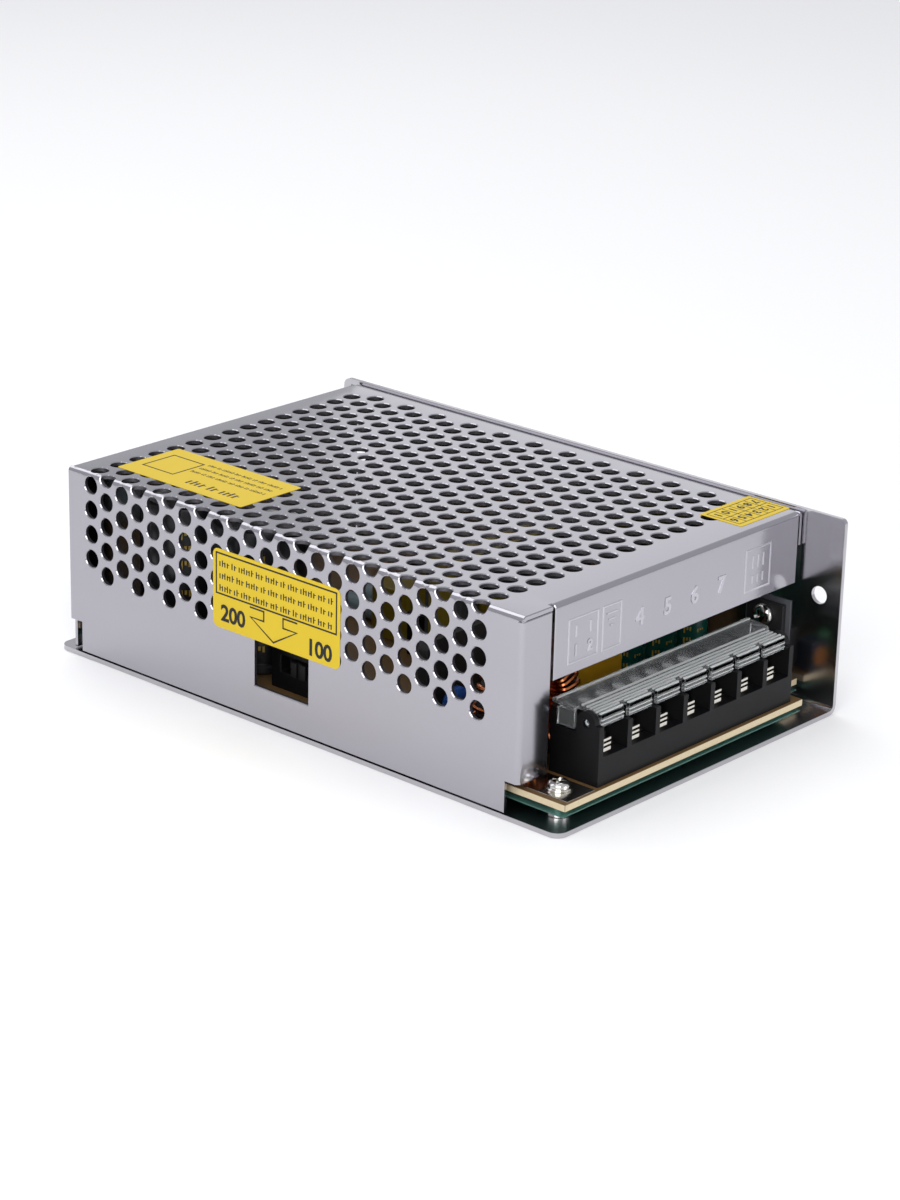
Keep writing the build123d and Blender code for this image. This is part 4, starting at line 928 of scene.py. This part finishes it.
class POWER_OT_labels(bpy.types.Operator):
    """Lay the three yellow stickers, each with its plain print"""
    bl_idname = "power.labels"
    bl_label = "Stickers"

    def sticker(self, sizes, name, node, place, width, height, corner):
        """The film of one sticker, and the place on top of it."""
        bm = bmesh.new()
        film = sizes.film / MM
        add_plate(bm, [rounded(width, height, corner)], place, film, film / 3)
        put(name, bm, ["label_yellow"], stands_for=(node,))
        return place @ Matrix.Translation((0, 0, film))

    def execute(self, context):
        sizes = context.scene.power_labels
        ink, line = sizes.ink / MM, sizes.line / MM
        low, high = span("side_sticker")
        width, height = high.y - low.y, high.z - low.z
        place = facing((high.x, (low.y + high.y) / 2, (low.z + high.z) / 2), (0, -1, 0), (0, 0, 1))
        face = self.sticker(sizes, "side_label", "side_sticker", place, width, height, sizes.corner / MM)
        bm = bmesh.new()
        left, right = -width / 2 + 1.1, width / 2 - 1.1
        top = height / 2 - 1.0
        add_stroke(bm, face, [(left, top), (left, -1.2), (right, -1.2), (right, top)], line, ink)
        self.lines(bm, face, left + 1.0, right - 1.0, (top - 2.2, top - 5.1, top - 8.0), 1.7, ink)
        add_numerals(bm, "200", face, left + 1.4, -7.4, 3.9, ink)
        add_numerals(bm, "100", face, right - 9.0, -8.1, 3.9, ink)
        arrow = [(-8.0, -1.9), (-3.6, -1.9), (-3.6, -4.2), (-7.8, -4.2), (-0.6, -8.4), (6.6, -4.2), (2.4, -4.2),
                 (2.4, -1.9), (6.8, -1.9)]
        add_stroke(bm, face, arrow, line, ink, closed=False)
        put("side_label_print", bm, ["label_ink"])

        low, high = span("back_sticker")
        width, height = high.y - low.y, high.x - low.x
        place = facing(((low.x + high.x) / 2, (low.y + high.y) / 2, low.z), (0, -1, 0), (1, 0, 0))
        face = self.sticker(sizes, "back_label", "back_sticker", place, width, height, sizes.top_corner / MM)
        bm = bmesh.new()
        self.lines(bm, face, -6.0, width / 2 - 2.5, (6.0, 3.2, 0.4), 1.3, ink)
        self.lines(bm, face, -1.0, width / 2 - 5.0, (-5.2,), 3.0, ink)
        box = [(-width / 2 + 3.0, -4.5), (-width / 2 + 13.0, -4.5), (-width / 2 + 13.0, 5.5), (-width / 2 + 3.0, 5.5)]
        add_stroke(bm, face, box, line, ink)
        put("back_label_print", bm, ["label_ink"])

        low, high = span("front_sticker")
        width, height = sizes.date_length / MM, sizes.date_width / MM
        place = facing(((low.x + high.x) / 2 + 0.3, (low.y + high.y) / 2, low.z), (-1, 0, 0), (0, -1, 0))
        face = self.sticker(sizes, "front_label", "front_sticker", place, width, height, sizes.top_corner / MM)
        bm = bmesh.new()
        for v in (-4.6, 0.0, 4.6):
            add_bar(bm, face, -width / 2 + 1.0, width / 2 - 1.0, v - line / 4, v + line / 4, ink)
        cells = 6
        for k in range(cells + 1):
            u = -width / 2 + 1.0 + k * (width - 2.0) / cells
            add_bar(bm, face, u - line / 4, u + line / 4, -4.6, 4.6, ink)
        for k, mark in enumerate("123456789101112"[:2 * cells]):
            u = -width / 2 + 1.6 + (k % cells) * (width - 2.0) / cells
            add_numerals(bm, mark, face, u, 1.2 if k < cells else -3.4, 2.2, ink)
        put("front_label_print", bm, ["label_ink"])
        return {"FINISHED"}

    def lines(self, bm, face, u0, u1, rows, tall, ink):
        """Lines of text as rows of plain upright strokes in groups, with no letters in them."""
        groups = (4, 2, 6, 3, 5, 2, 4, 6, 3)
        stroke, step = tall * 0.2, tall * 0.46
        for row, v in enumerate(rows):
            u, k, left = u0, row * 2, groups[row * 2 % len(groups)]
            while u + stroke < u1:
                rise = tall / 2 if (k + left) % 3 else tall * 0.68
                add_bar(bm, face, u, u + stroke, v - tall / 2, v - tall / 2 + rise + tall * 0.2, ink)
                if left % 2:
                    add_bar(bm, face, u + stroke, min(u + step, u1), v - 0.1, v + 0.1, ink)
                u, left = u + step, left - 1
                if not left:
                    u, k = u + step * 0.9, k + 1
                    left = groups[k % len(groups)]


def add_screw(bm, place, head_radius, head_height, shank_radius, shank_length, slotted=False):
    """A pan-head screw with a cross recess, its head's underside at the place."""
    r, h = head_radius, head_height
    thread = 0.5
    profile = [(0, -shank_length), (shank_radius * 0.7, -shank_length), (shank_radius, -shank_length + 0.4)]
    for k in range(max(int((shank_length - 0.8) / thread), 0)):
        z = -shank_length + thread * (k + 1)
        profile += [(shank_radius, z), (shank_radius * 0.86, z + thread / 2)]
    profile += [(shank_radius * 0.9, 0), (r * 0.96, 0), (r, h * 0.12), (r, h * 0.42), (r * 0.93, h * 0.68),
                (r * 0.75, h * 0.88), (r * 0.5, h * 0.97), (0, h)]
    body, recess = bmesh.new(), bmesh.new()
    add_lathe(body, profile, Matrix.Identity(4))
    reach, half, depth = r * 0.62, r * 0.13, h * 0.72
    outline = [(reach, -half), (reach, half), (half, half), (half, reach), (-half, reach), (-half, half),
               (-reach, half), (-reach, -half), (-half, -half), (-half, -reach), (half, -reach), (half, -half)]
    floor, mouth = [[recess.verts.new((x * scale, y * scale, z)) for x, y in outline]
                    for scale, z in ((0.45, h - depth), (1.05, h + 0.2))]
    for i in range(12):
        j = (i + 1) % 12
        recess.faces.new((floor[i], floor[j], mouth[j], mouth[i]))
    recess.faces.new(list(reversed(floor)))
    recess.faces.new(mouth)
    cutters = [recess]
    if slotted:
        cutters.append(bmesh.new())
        add_block(cutters[-1], (-r - 0.5, -r * 0.15, h * 0.6), (r + 0.5, r * 0.15, h + 0.5))
    add_mesh(bm, to_mesh(cut_away(body, *cutters), "screw"), place)


def add_mesh(bm, mesh, place):
    """Copy a mesh into a bmesh at a place, and drop it."""
    first = len(bm.verts)
    bm.from_mesh(mesh)
    bm.verts.ensure_lookup_table()
    for vert in bm.verts[first:]:
        vert.co = place @ vert.co
    bpy.data.meshes.remove(mesh)


class POWER_OT_screws(bpy.types.Operator):
    """Set the pan-head screws of the case, the board and the power devices"""
    bl_idname = "power.screws"
    bl_label = "Screws"

    def execute(self, context):
        kinds = (("cover_screws", "case_screws", (1, 0, 0), 1.6, 2.6, 1.4),
                 ("board_screws", "board_pan_screws", (0, 0, 1), 1.9, 2.5, 1.25),
                 ("device_screws", "device_pan_screws", (-1, 0, 0), 2.0, 2.7, 1.4))
        for node, name, axis, head, radius, shank in kinds:
            bm = bmesh.new()
            for k, (low, high) in enumerate(solids_of(node)):
                middle = (low + high) / 2
                out = Vector(axis)
                size = abs((high - low).dot(out))
                seat = middle + out * (size / 2 - head)
                turn = Matrix.Rotation(math.radians(20 + 37 * k), 4, "Z")
                add_screw(bm, lying(seat, axis) @ turn, radius, head, shank, size - head)
                if node == "board_screws":
                    add_lathe(bm, [(1.3, 0.0), (2.85, 0.0), (2.95, 0.12), (2.95, 0.38), (2.85, 0.5), (2.4, 0.52)],
                              lying(seat - out * 0.02, axis))
            put(name, bm, ["nickel_screw"], stands_for=(node,))
        return {"FINISHED"}


class POWER_OT_terminals(bpy.types.Operator):
    """Dress the terminal block, its contacts, clamps, screws and the clear lid"""
    bl_idname = "power.terminals"
    bl_label = "Terminals"

    def housing(self, sizes):
        """The block, its dividers stepped down in front for the lid's lip."""
        low, high = span("terminal_block")
        step = ((low.x + 1.45, low.y - 1, sizes.lip_foot / MM - 0.05), (high.x - 1.45, -70.3, high.z + 1))
        eased_copy("block_housing", "terminal_block", 0.15, ["moulded_nylon"], cut=step)

    def flap(self, sizes):
        """The clear lid: a slit plate with long ribs, a finger in front of each way and two side walls."""
        low, high = span("terminal_lid")
        block_low, block_high = span("terminal_block")
        front, lip = sizes.front / MM, sizes.lip / MM
        foot, rib, tall = sizes.lip_foot / MM, sizes.rib / MM, sizes.rib_height / MM
        pitch = (block_high.x - block_low.x - 1.5) / WAYS
        left, right = block_low.x + 1.8, block_high.x - 1.8
        shoulder, slit_end, half = -68.4, -72.3, sizes.slit / MM / 2
        slits = [block_low.x + 0.75 + pitch * i for i in range(1, WAYS)]
        outline = [(block_low.x, high.y), (block_low.x, shoulder), (left, shoulder), (left, front)]
        for x in slits:
            outline += [(x - half, front), (x - half, slit_end), (x + half, slit_end), (x + half, front)]
        outline += [(right, front), (right, shoulder), (block_high.x, shoulder), (block_high.x, high.y)]
        drop = (high.z - foot - 2.9) / (high.y - front)

        def where(s, t, depth):
            return Vector((s, t, high.z - (high.y - t) * drop - depth))
        bm = bmesh.new()
        add_sheet(bm, [outline], [], where, sizes.thick / MM, 0.12)
        top = high.z - (high.y - front) * drop
        edges = [left] + [x + d for x in slits for d in (-half, half)] + [right]
        for x0, x1 in zip(edges[::2], edges[1::2]):
            add_block(bm, (x0, front, foot), (x1, front + lip, top - 0.01), 0.1)
            # The strips across each finger's front and the ribs take the paler polycarbonate: painted highlight
            # lines.
            for z in (foot + 0.7, foot + 1.6):
                add_block(bm, (x0 + 0.02, front - 0.14, z - 0.12), (x1 - 0.02, front + 0.1, z + 0.12), 0.03, 1)
            for y in (front + 0.4, front + 1.4):
                z = high.z - (high.y - y) * drop
                add_block(bm, (x0 + 0.02, y - rib / 2, z - 0.1), (x1 - 0.02, y + rib / 2, z + tall), 0.08, 1)
        for y in (slit_end + 0.3, slit_end + 1.3, slit_end + 2.3, shoulder - 0.4, high.y - 0.9):
            z = high.z - (high.y - y) * drop
            inset = 0.4 if y > shoulder else 2.2
            add_block(bm, (block_low.x + inset, y - rib / 2, z - 0.1),
                      (block_high.x - inset, y + rib / 2, z + tall), 0.08, 1)
        for x0, x1 in ((block_low.x, block_low.x + 1.0), (block_high.x - 1.0, block_high.x)):
            add_block(bm, (x0, shoulder, low.z), (x1, -63.8, 22.2), 0.1)
        for x, sign in ((left, -1), (right, 1)):
            place = lying((x, -71.7, 20.4), (sign, 0, 0))
            add_lathe(bm, [(0, -0.6), (0.95, -0.6), (0.95, 0.9), (0.8, 1.0), (0, 1.0)], place, steps=24)
            add_block(bm, (min(x, x - sign * 0.8), -72.9, 19.6), (max(x, x - sign * 0.8), -70.6, 22.2), 0.1)
        flat_faces(put("clear_flap", bm, ["clear_polycarbonate", "polycarbonate_painted_highlight"], "lid",
                       ("terminal_lid",)))

    def execute(self, context):
        sizes = context.scene.power_lid
        self.housing(sizes)
        self.flap(sizes)
        bm = bmesh.new()
        for low, high in solids_of("terminal_contacts"):
            left, front, foot = low.x + 0.05, low.y - 0.2, low.z + 0.8
            add_block(bm, (low.x, low.y + 2.0, low.z), (high.x, high.y, foot), 0.1)
            add_block(bm, (left, front + 0.3, low.z + 0.05), (left + 2.4, low.y + 2.2, foot - 0.05), 0.1)
            add_block(bm, (left, front + 0.1, foot - 0.3), (left + 0.9, front + 0.7, foot + 2.9), 0.1)
            for rise, tall in ((-0.2, 0.95), (1.15, 0.6), (2.2, 0.6)):
                add_block(bm, (left, front, foot + rise), (left + 3.2, front + 0.6, foot + rise + tall), 0.15)
        flat_faces(put("contact_strips", bm, ["bright_tin"], stands_for=("terminal_contacts",)))
        for i in range(1, WAYS + 1):
            eased_copy(f"wire_clamp_{i}", f"terminal_clamp_{i}", 0.15, ["zinc_clamp"],
                       body=f"clamp_{i}")
            low, high = span(f"terminal_screw_{i}")
            middle = (low + high) / 2
            head, radius = 2.2, 2.8
            bm = bmesh.new()
            turn = Matrix.Rotation(math.radians(25 + 53 * i), 4, "Z")
            place = upright(middle.x, middle.y, high.z - head) @ turn
            add_screw(bm, place, radius, head, 1.6, high.z - low.z - head, slotted=True)
            put(f"way_screw_{i}", bm, ["nickel_screw"], body=f"screw_{i}",
                stands_for=(f"terminal_screw_{i}",))
        return {"FINISHED"}


class POWER_OT_board(bpy.types.Operator):
    """Finish the circuit board, its film, its standoffs and the earth pad"""
    bl_idname = "power.board"
    bl_label = "Board"

    def execute(self, context):
        def side(face):
            return 0 if face.normal.z > 0.5 else (1 if face.normal.z < -0.5 else 2)
        # The underside's solder mask is painted much paler than its own green: painted light for an underside that
        # little light reaches.
        eased_copy("printed_board", "circuit_board", 0.08,
                   ["laminate_top", "solder_mask_painted_light",
                    "laminate_edge"], painter=side, segments=1)
        # The film's green tint is a painted reflection of the board's green underside.
        eased_copy("underside_film", "insulating_film", 0.03, ["polyester_painted_reflection"],
                   segments=1)
        eased_copy("earth_plate", "earth_pad", 0.05, ["bright_tin"])
        bm = bmesh.new()
        for low, high in solids_of("standoffs"):
            x, y = (low.x + high.x) / 2, (low.y + high.y) / 2
            neck = high.z - 1.5
            add_lathe(bm, [(1.5, low.z), (2.55, low.z), (2.7, low.z + 0.15), (2.7, neck - 0.15), (2.55, neck),
                           (2.1, neck), (2.1, high.z - 0.1), (2.0, high.z), (1.5, high.z), (1.5, low.z)],
                      upright(x, y, 0))
        put("turned_standoffs", bm, ["nickel_screw"], stands_for=("standoffs",))
        return {"FINISHED"}


def wind(bm, place, inner, outer, half, wire, start, end, turns):
    """Wire wound round a ring whose axis is the place's local Z."""
    points, per_turn = [], 20
    radius = wire / 2
    r0, r1, h = inner - radius, outer + radius, half + radius
    squareness = 0.42
    for k in range(turns * per_turn + 1):
        along = k / (turns * per_turn)
        phi = start + (end - start) * along
        a = 2 * math.pi * k / per_turn
        cr = math.copysign(abs(math.cos(a)) ** squareness, math.cos(a))
        ch = math.copysign(abs(math.sin(a)) ** squareness, math.sin(a))
        r = (r0 + r1) / 2 + (r1 - r0) / 2 * cr
        points.append(place @ Vector((r * math.cos(phi), r * math.sin(phi), h * ch)))
    add_wire(bm, points, radius)


def add_ring(bm, place, inner, outer, half, ease):
    """A ring with eased edges whose axis is the place's local Z."""
    add_lathe(bm, [(inner + ease, -half), (outer - ease, -half), (outer, -half + ease), (outer, half - ease),
                   (outer - ease, half), (inner + ease, half), (inner, half - ease), (inner, -half + ease),
                   (inner + ease, -half)], place, steps=48)


class POWER_OT_coils(bpy.types.Operator):
    """Wind the line choke and the output choke"""
    bl_idname = "power.coils"
    bl_label = "Coils"

    def execute(self, context):
        sizes = context.scene.power_coils
        low, high = span("choke_windings")
        core_low, core_high = span("choke_core")
        middle = (low + high) / 2
        wire = sizes.choke_wire / MM
        outer = (core_high.z - core_low.z) / 2
        inner = 5.5 + wire
        half = (core_high.y - core_low.y) / 2
        place = lying(middle, (0, 1, 0))
        bm = bmesh.new()
        add_ring(bm, place, inner, outer, half, 0.5)
        put("choke_ring", bm, ["sintered_ferrite"], stands_for=("choke_core",))
        bm = bmesh.new()
        gap = sizes.choke_gap / 2
        turns = int((math.pi - 2 * gap) * (inner - wire / 2) / wire)
        for start in (math.pi / 2 + gap, -math.pi / 2 + gap):
            wind(bm, place, inner, outer, half, wire, start, start + math.pi - 2 * gap, turns)
        put("choke_copper", bm, ["enamelled_copper"], stands_for=("choke_windings",))

        core_low, core_high = span("output_choke_core")
        wire = sizes.output_wire / MM
        middle = (core_low + core_high) / 2
        outer = (core_high.y - core_low.y) / 2
        inner = 4.0 + wire
        half = (core_high.z - core_low.z) / 2
        place = upright(middle.x, middle.y, middle.z)
        bm = bmesh.new()
        add_ring(bm, place, inner, outer, half, 0.4)
        put("output_ring", bm, ["sintered_ferrite"], stands_for=("output_choke_core",))
        bm = bmesh.new()
        gap = math.radians(24)
        turns = int((2 * math.pi - 2 * gap) * (inner - wire / 2) / wire)
        wind(bm, place, inner, outer, half, wire, gap, 2 * math.pi - gap, turns)
        put("output_copper", bm, ["enamelled_copper"], stands_for=("output_choke_winding",))
        return {"FINISHED"}


def add_can(bm, x, y, low, high, radius, vent=True):
    """An electrolytic can: shrunk sleeve, rolled bead, and a bare top with its scored vent."""
    place = upright(x, y, 0)
    bead = low + 2.2
    add_lathe(bm, [(0, low), (radius - 0.6, low), (radius - 0.1, low + 0.4), (radius, low + 0.9),
                   (radius, bead - 0.4), (radius - 0.7, bead + 0.35), (radius, bead + 1.1), (radius, high - 0.8),
                   (radius - 0.25, high - 0.2), (radius - 0.8, high), (radius - 1.5, high),
                   (radius - 1.6, high - 0.15)], place, 0, 48)
    add_lathe(bm, [(radius - 1.6, high - 0.15), (radius - 1.9, high - 0.25), (0, high - 0.25)], place, 1, 48)
    if vent:
        reach = (radius - 2.2) * 0.9
        for turn in (0, 60, 120):
            spin = Matrix.Translation((x, y, high - 0.25)) @ Matrix.Rotation(math.radians(turn), 4, "Z")
            add_block(bm, (-reach, -0.12, -0.02), (reach, 0.12, 0.05), 0.0, 1, spin)


def add_wrapped(bm, x, y, radius, a0, a1, z0, z1, paint):
    """A printed patch wrapped on an upright can."""
    steps = max(int(abs(a1 - a0) / 6), 1)
    lows, highs = [], []
    for k in range(steps + 1):
        a = math.radians(a0 + (a1 - a0) * k / steps)
        px, py = x + radius * math.cos(a), y + radius * math.sin(a)
        lows.append(bm.verts.new((px, py, z0)))
        highs.append(bm.verts.new((px, py, z1)))
    for k in range(steps):
        bm.faces.new((lows[k], lows[k + 1], highs[k + 1], highs[k])).material_index = paint


class POWER_OT_capacitors(bpy.types.Operator):
    """Build the sleeved cans, the boxed capacitor and the dipped discs"""
    bl_idname = "power.capacitors"
    bl_label = "Capacitors"

    def execute(self, context):
        kinds = (("bulk_capacitors", "mains_cans", 11.0, "sleeve_black", "black_sleeve", 2.4),
                 ("output_capacitors", "output_cans", 5.2, "sleeve_green", "green_sleeve", 1.7),
                 ("small_capacitors", "small_cans", 3.2, "sleeve_black", "black_sleeve", 1.0))
        for node, name, radius, sleeve, slot, mark in kinds:
            bm = bmesh.new()
            for low, high in solids_of(node):
                x, y = (low.x + high.x) / 2, (low.y + high.y) / 2
                add_can(bm, x, y, low.z, high.z, radius, radius > 5)
                skin = radius + 0.015
                step = mark * 1.5
                z = low.z + 5.0
                while z + mark < high.z - 1.5:
                    wide = math.degrees(mark / radius)
                    for turn, rise in ((-100, 0.5), (-136, 0.9)):
                        for shift, low_end in ((-0.5, 0.0), (-0.1, rise / 2), (0.3, rise / 3)):
                            add_wrapped(bm, x, y, skin, turn + shift * wide, turn + (shift + 0.22) * wide,
                                        z + low_end * mark, z + rise * mark, 2)
                    z += step
            put(name, bm, [sleeve, "drawn_aluminium", "gold_print"], stands_for=(node,))
        low, high = span("x_capacitor")
        bm = bmesh.new()
        add_block(bm, low, high, 0.6)
        put("film_capacitor", bm, ["boxed_yellow"], stands_for=("x_capacitor",))
        for node, name, coat, slot in (("y_capacitors", "safety_discs", "dipped_blue", "blue_coating"),
                                       ("thermistor", "inrush_disc", "dipped_dark", "dark_coating")):
            bm = bmesh.new()
            for low, high in solids_of(node):
                middle = (low + high) / 2
                radius, thick = (high.x - low.x) / 2, (high.y - low.y) / 2
                place = lying((middle.x, middle.y, high.z - radius), (0, 1, 0))
                add_lathe(bm, [(0, -thick), (radius * 0.55, -thick * 0.96), (radius * 0.85, -thick * 0.72),
                               (radius, -thick * 0.25), (radius, thick * 0.25), (radius * 0.85, thick * 0.72),
                               (radius * 0.55, thick * 0.96), (0, thick)], place, 0, 36)
                for sign in (-1, 1):
                    x = middle.x + sign * radius / 2
                    add_wire(bm, [Vector((x, middle.y, low.z)), Vector((x, middle.y, high.z - radius))], 0.35, 1)
            put(name, bm, [coat, "bright_tin"], stands_for=(node,))
        return {"FINISHED"}


class POWER_OT_magnetics(bpy.types.Operator):
    """Dress the transformers"""
    bl_idname = "power.magnetics"
    bl_label = "Transformers"

    def execute(self, context):
        for name, node, ease, finish, slot in (
                ("ferrite_halves", "transformer_core", 0.4, "sintered_ferrite", "ferrite"),
                ("coil_former", "transformer_bobbin", 0.2, "moulded_nylon", "black_nylon"),
                ("taped_coil", "transformer_winding", 0.25, "tape_yellow", "yellow_tape"),
                ("core_tape", "transformer_tape", 0.1, "tape_yellow", "yellow_tape"),
                ("small_transformer", "driver_transformer", 0.4, "tape_yellow", "yellow_tape")):
            eased_copy(name, node, ease, [finish])
        return {"FINISHED"}


class POWER_OT_small_parts(bpy.types.Operator):
    """Dress the fuse, rectifier, chip, resistors, power devices, selector, trimmer and lamp"""
    bl_idname = "power.small_parts"
    bl_label = "Small parts"

    def execute(self, context):
        low, high = span("fuse_caps")
        place = backwards(low, high)
        size = high.y - low.y
        bm = bmesh.new()
        add_lathe(bm, [(0, 0.5), (2.1, 0.5), (2.1, size - 0.5), (0, size - 0.5)], place)
        put("fuse_tube", bm, ["fuse_tube"], stands_for=("fuse_glass",))
        bm = bmesh.new()
        for start, sign in ((0.0, 1), (size, -1)):
            shape = [(0, start), (2.3, start), (2.6, start + sign * 0.3), (2.6, start + sign * 5.0),
                     (2.12, start + sign * 5.0), (2.12, start + sign * 0.5), (0, start + sign * 0.5)]
            add_lathe(bm, shape, place)
        put("fuse_end_caps", bm, ["bright_tin"], stands_for=("fuse_caps",))
        eased_copy("fuse_spring_clips", "fuse_clips", 0.1, ["bright_tin"])
        bridge_low = span("bridge_rectifier")[0]

        def legs(face):
            return 1 if face.calc_center_median().z < bridge_low.z + 2.9 else 0
        eased_copy("bridge_block", "bridge_rectifier", 0.3, ["moulded_epoxy", "bright_tin"],
                   painter=legs)
        chip_low, chip_high = span("controller_chip")

        def pins(face):
            middle = face.calc_center_median()
            return 1 if middle.x < chip_low.x + 0.75 or middle.x > chip_high.x - 0.75 else 0
        eased_copy("control_chip", "controller_chip", 0.12, ["moulded_epoxy", "bright_tin"],
                   painter=pins)
        bm = bmesh.new()
        for low, high in solids_of("resistors"):
            size, radius = high.y - low.y, (high.z - low.z) / 2
            place = backwards(low, high)
            add_lathe(bm, [(0, 0), (radius * 0.7, 0.1), (radius * 0.95, 0.7), (radius, 1.6), (radius * 0.96, 3.4),
                           (radius * 0.93, size / 2), (radius * 0.96, size - 3.4), (radius, size - 1.6),
                           (radius * 0.95, size - 0.7), (radius * 0.7, size - 0.1), (0, size)], place)
        put("power_resistors", bm, ["resistor_coat"], stands_for=("resistors",))
        eased_copy("wall_devices", "power_devices", 0.15, ["moulded_epoxy"])
        eased_copy("wall_pads", "device_pads", 0.05, ["silicone_pad"], segments=1)
        eased_copy("switch_housing", "selector_body", 0.25, ["moulded_nylon"])
        eased_copy("switch_slider", "selector_slider", 0.2, ["moulded_nylon"],
                   body="selector")
        # The trimmer's blue case is darkened nearly to black: painted shade.
        eased_copy("trimmer_case", "trimmer_body", 0.2, ["moulded_blue_painted_shade"])
        low, high = span("trimmer_rotor")
        place = backwards(low, high)
        bm = bmesh.new()
        size = high.y - low.y
        add_lathe(bm, [(0, 0.8), (1.2, 0.8), (1.2, 0.0), (2.0, 0.0), (2.12, 0.12), (2.12, size), (0, size)],
                  place, 0, 36)
        add_block(bm, (-1.19, -0.35, 0.25), (1.19, 0.35, 0.8), 0.08, 0, place)
        put("trimmer_disc", bm, ["moulded_tan"], body="trimmer",
            stands_for=("trimmer_rotor",))
        low, high = span("indicator_lamp")
        x, y = (low.x + high.x) / 2, (low.y + high.y) / 2
        bm = bmesh.new()
        base = high.z - 5.0
        add_lathe(bm, [(0, base), (1.75, base), (1.75, base + 1.0), (1.45, base + 1.05), (1.45, high.z - 1.45),
                       (1.34, high.z - 0.9), (1.03, high.z - 0.42), (0.55, high.z - 0.1), (0, high.z)],
                  upright(x, y, 0), 0, 32)
        for sign in (-1, 1):
            px = x + sign * 0.72
            add_wire(bm, [Vector((px, y, low.z)), Vector((px, y, base + 0.05))], 0.22, 1)
        put("green_lamp", bm, ["lamp_epoxy", "bright_tin"], stands_for=("indicator_lamp",))
        return {"FINISHED"}


def aim(obj, place, target):
    """Turn a light so that it shines on a point."""
    obj.location = place
    direction = Vector(target) - Vector(place)
    obj.rotation_euler = direction.to_track_quat("-Z", "Y").to_euler()


class POWER_OT_stage(bpy.types.Operator):
    """Set the pale floor, the soft lights and the camera"""
    bl_idname = "power.stage"
    bl_label = "Stage"

    def execute(self, context):
        scene, settings = context.scene, context.scene.power_studio
        bm = bmesh.new()
        bmesh.ops.create_grid(bm, x_segments=2, y_segments=2, size=4.0)
        mesh = to_mesh(bm, "studio_floor")
        mesh.materials.append(*finishes(["backdrop_white"]))
        floor = link("studio_floor", mesh)
        world = bpy.data.worlds.new("soft_room")
        world.use_nodes = True
        background = world.node_tree.nodes["Background"]
        background.inputs["Color"].default_value = (0.95, 0.96, 1.0, 1.0)
        background.inputs["Strength"].default_value = settings.sky
        scene.world = world
        scene.view_settings.view_transform = "Standard"
        lamps = (("overhead", (0.05, 0.4, 0.85), (0, 0, 0), 0.9, settings.key),
                 ("left_side", (-0.5, -0.35, 0.4), (0, 0, 0.03), 0.5, settings.side),
                 ("far_right", (1.7, 1.06, 0.73), (0, 0, 0.04), 0.9, settings.far),
                 ("low_front", (0.1, -0.65, 0.09), (0, 0, 0.01), 0.3, settings.low))
        for name, place, target, size, power in lamps:
            light = bpy.data.lights.new(name, "AREA")
            light.energy, light.size = power, size
            aim(link(name, light), place, target)
        camera = bpy.data.cameras.new("product_camera")
        camera.lens, camera.sensor_width, camera.sensor_fit = settings.lens, 36.0, "HORIZONTAL"
        camera.clip_start, camera.clip_end = 0.01, 20.0
        view = link("product_camera", camera)
        turn, tilt, roll = settings.turn, settings.tilt, settings.roll
        forward = Vector((math.sin(turn) * math.cos(tilt), math.cos(turn) * math.cos(tilt), -math.sin(tilt)))
        level = Vector((math.cos(turn), -math.sin(turn), 0.0))
        above = level.cross(forward)
        right = level * math.cos(roll) + above * math.sin(roll)
        up = above * math.cos(roll) - level * math.sin(roll)
        view.matrix_world = Matrix.Translation(settings.camera) @ Matrix((right, up, -forward)).transposed().to_4x4()
        scene.camera = view
        return {"FINISHED"}


class POWER_PT_panel(bpy.types.Panel):
    """Lists every step of the power supply"""
    bl_idname = "POWER_PT_panel"
    bl_label = "Power Supply"
    bl_space_type = "VIEW_3D"
    bl_region_type = "UI"
    bl_category = "Power Supply"

    def draw(self, context):
        for step in STEPS:
            self.layout.operator(step.bl_idname)


STEPS = (POWER_OT_stage, POWER_OT_cover, POWER_OT_chassis, POWER_OT_labels, POWER_OT_screws, POWER_OT_terminals,
         POWER_OT_board, POWER_OT_coils, POWER_OT_capacitors, POWER_OT_magnetics, POWER_OT_small_parts)
GROUPS = {"power_cover": CoverSizes, "power_chassis": ChassisSizes, "power_coils": CoilSizes,
          "power_labels": LabelSizes, "power_lid": LidSizes, "power_studio": StudioSettings}


def register():
    for cls in (*GROUPS.values(), *STEPS, POWER_PT_panel):
        bpy.utils.register_class(cls)
    for name, cls in GROUPS.items():
        setattr(bpy.types.Scene, name, PointerProperty(type=cls))


def unregister():
    for name in GROUPS:
        delattr(bpy.types.Scene, name)
    for cls in reversed((*GROUPS.values(), *STEPS, POWER_PT_panel)):
        bpy.utils.unregister_class(cls)


def main():
    register()
    for step in STEPS:
        group, action = step.bl_idname.split(".")
        getattr(getattr(bpy.ops, group), action)()


if __name__ == "__main__":
    main()
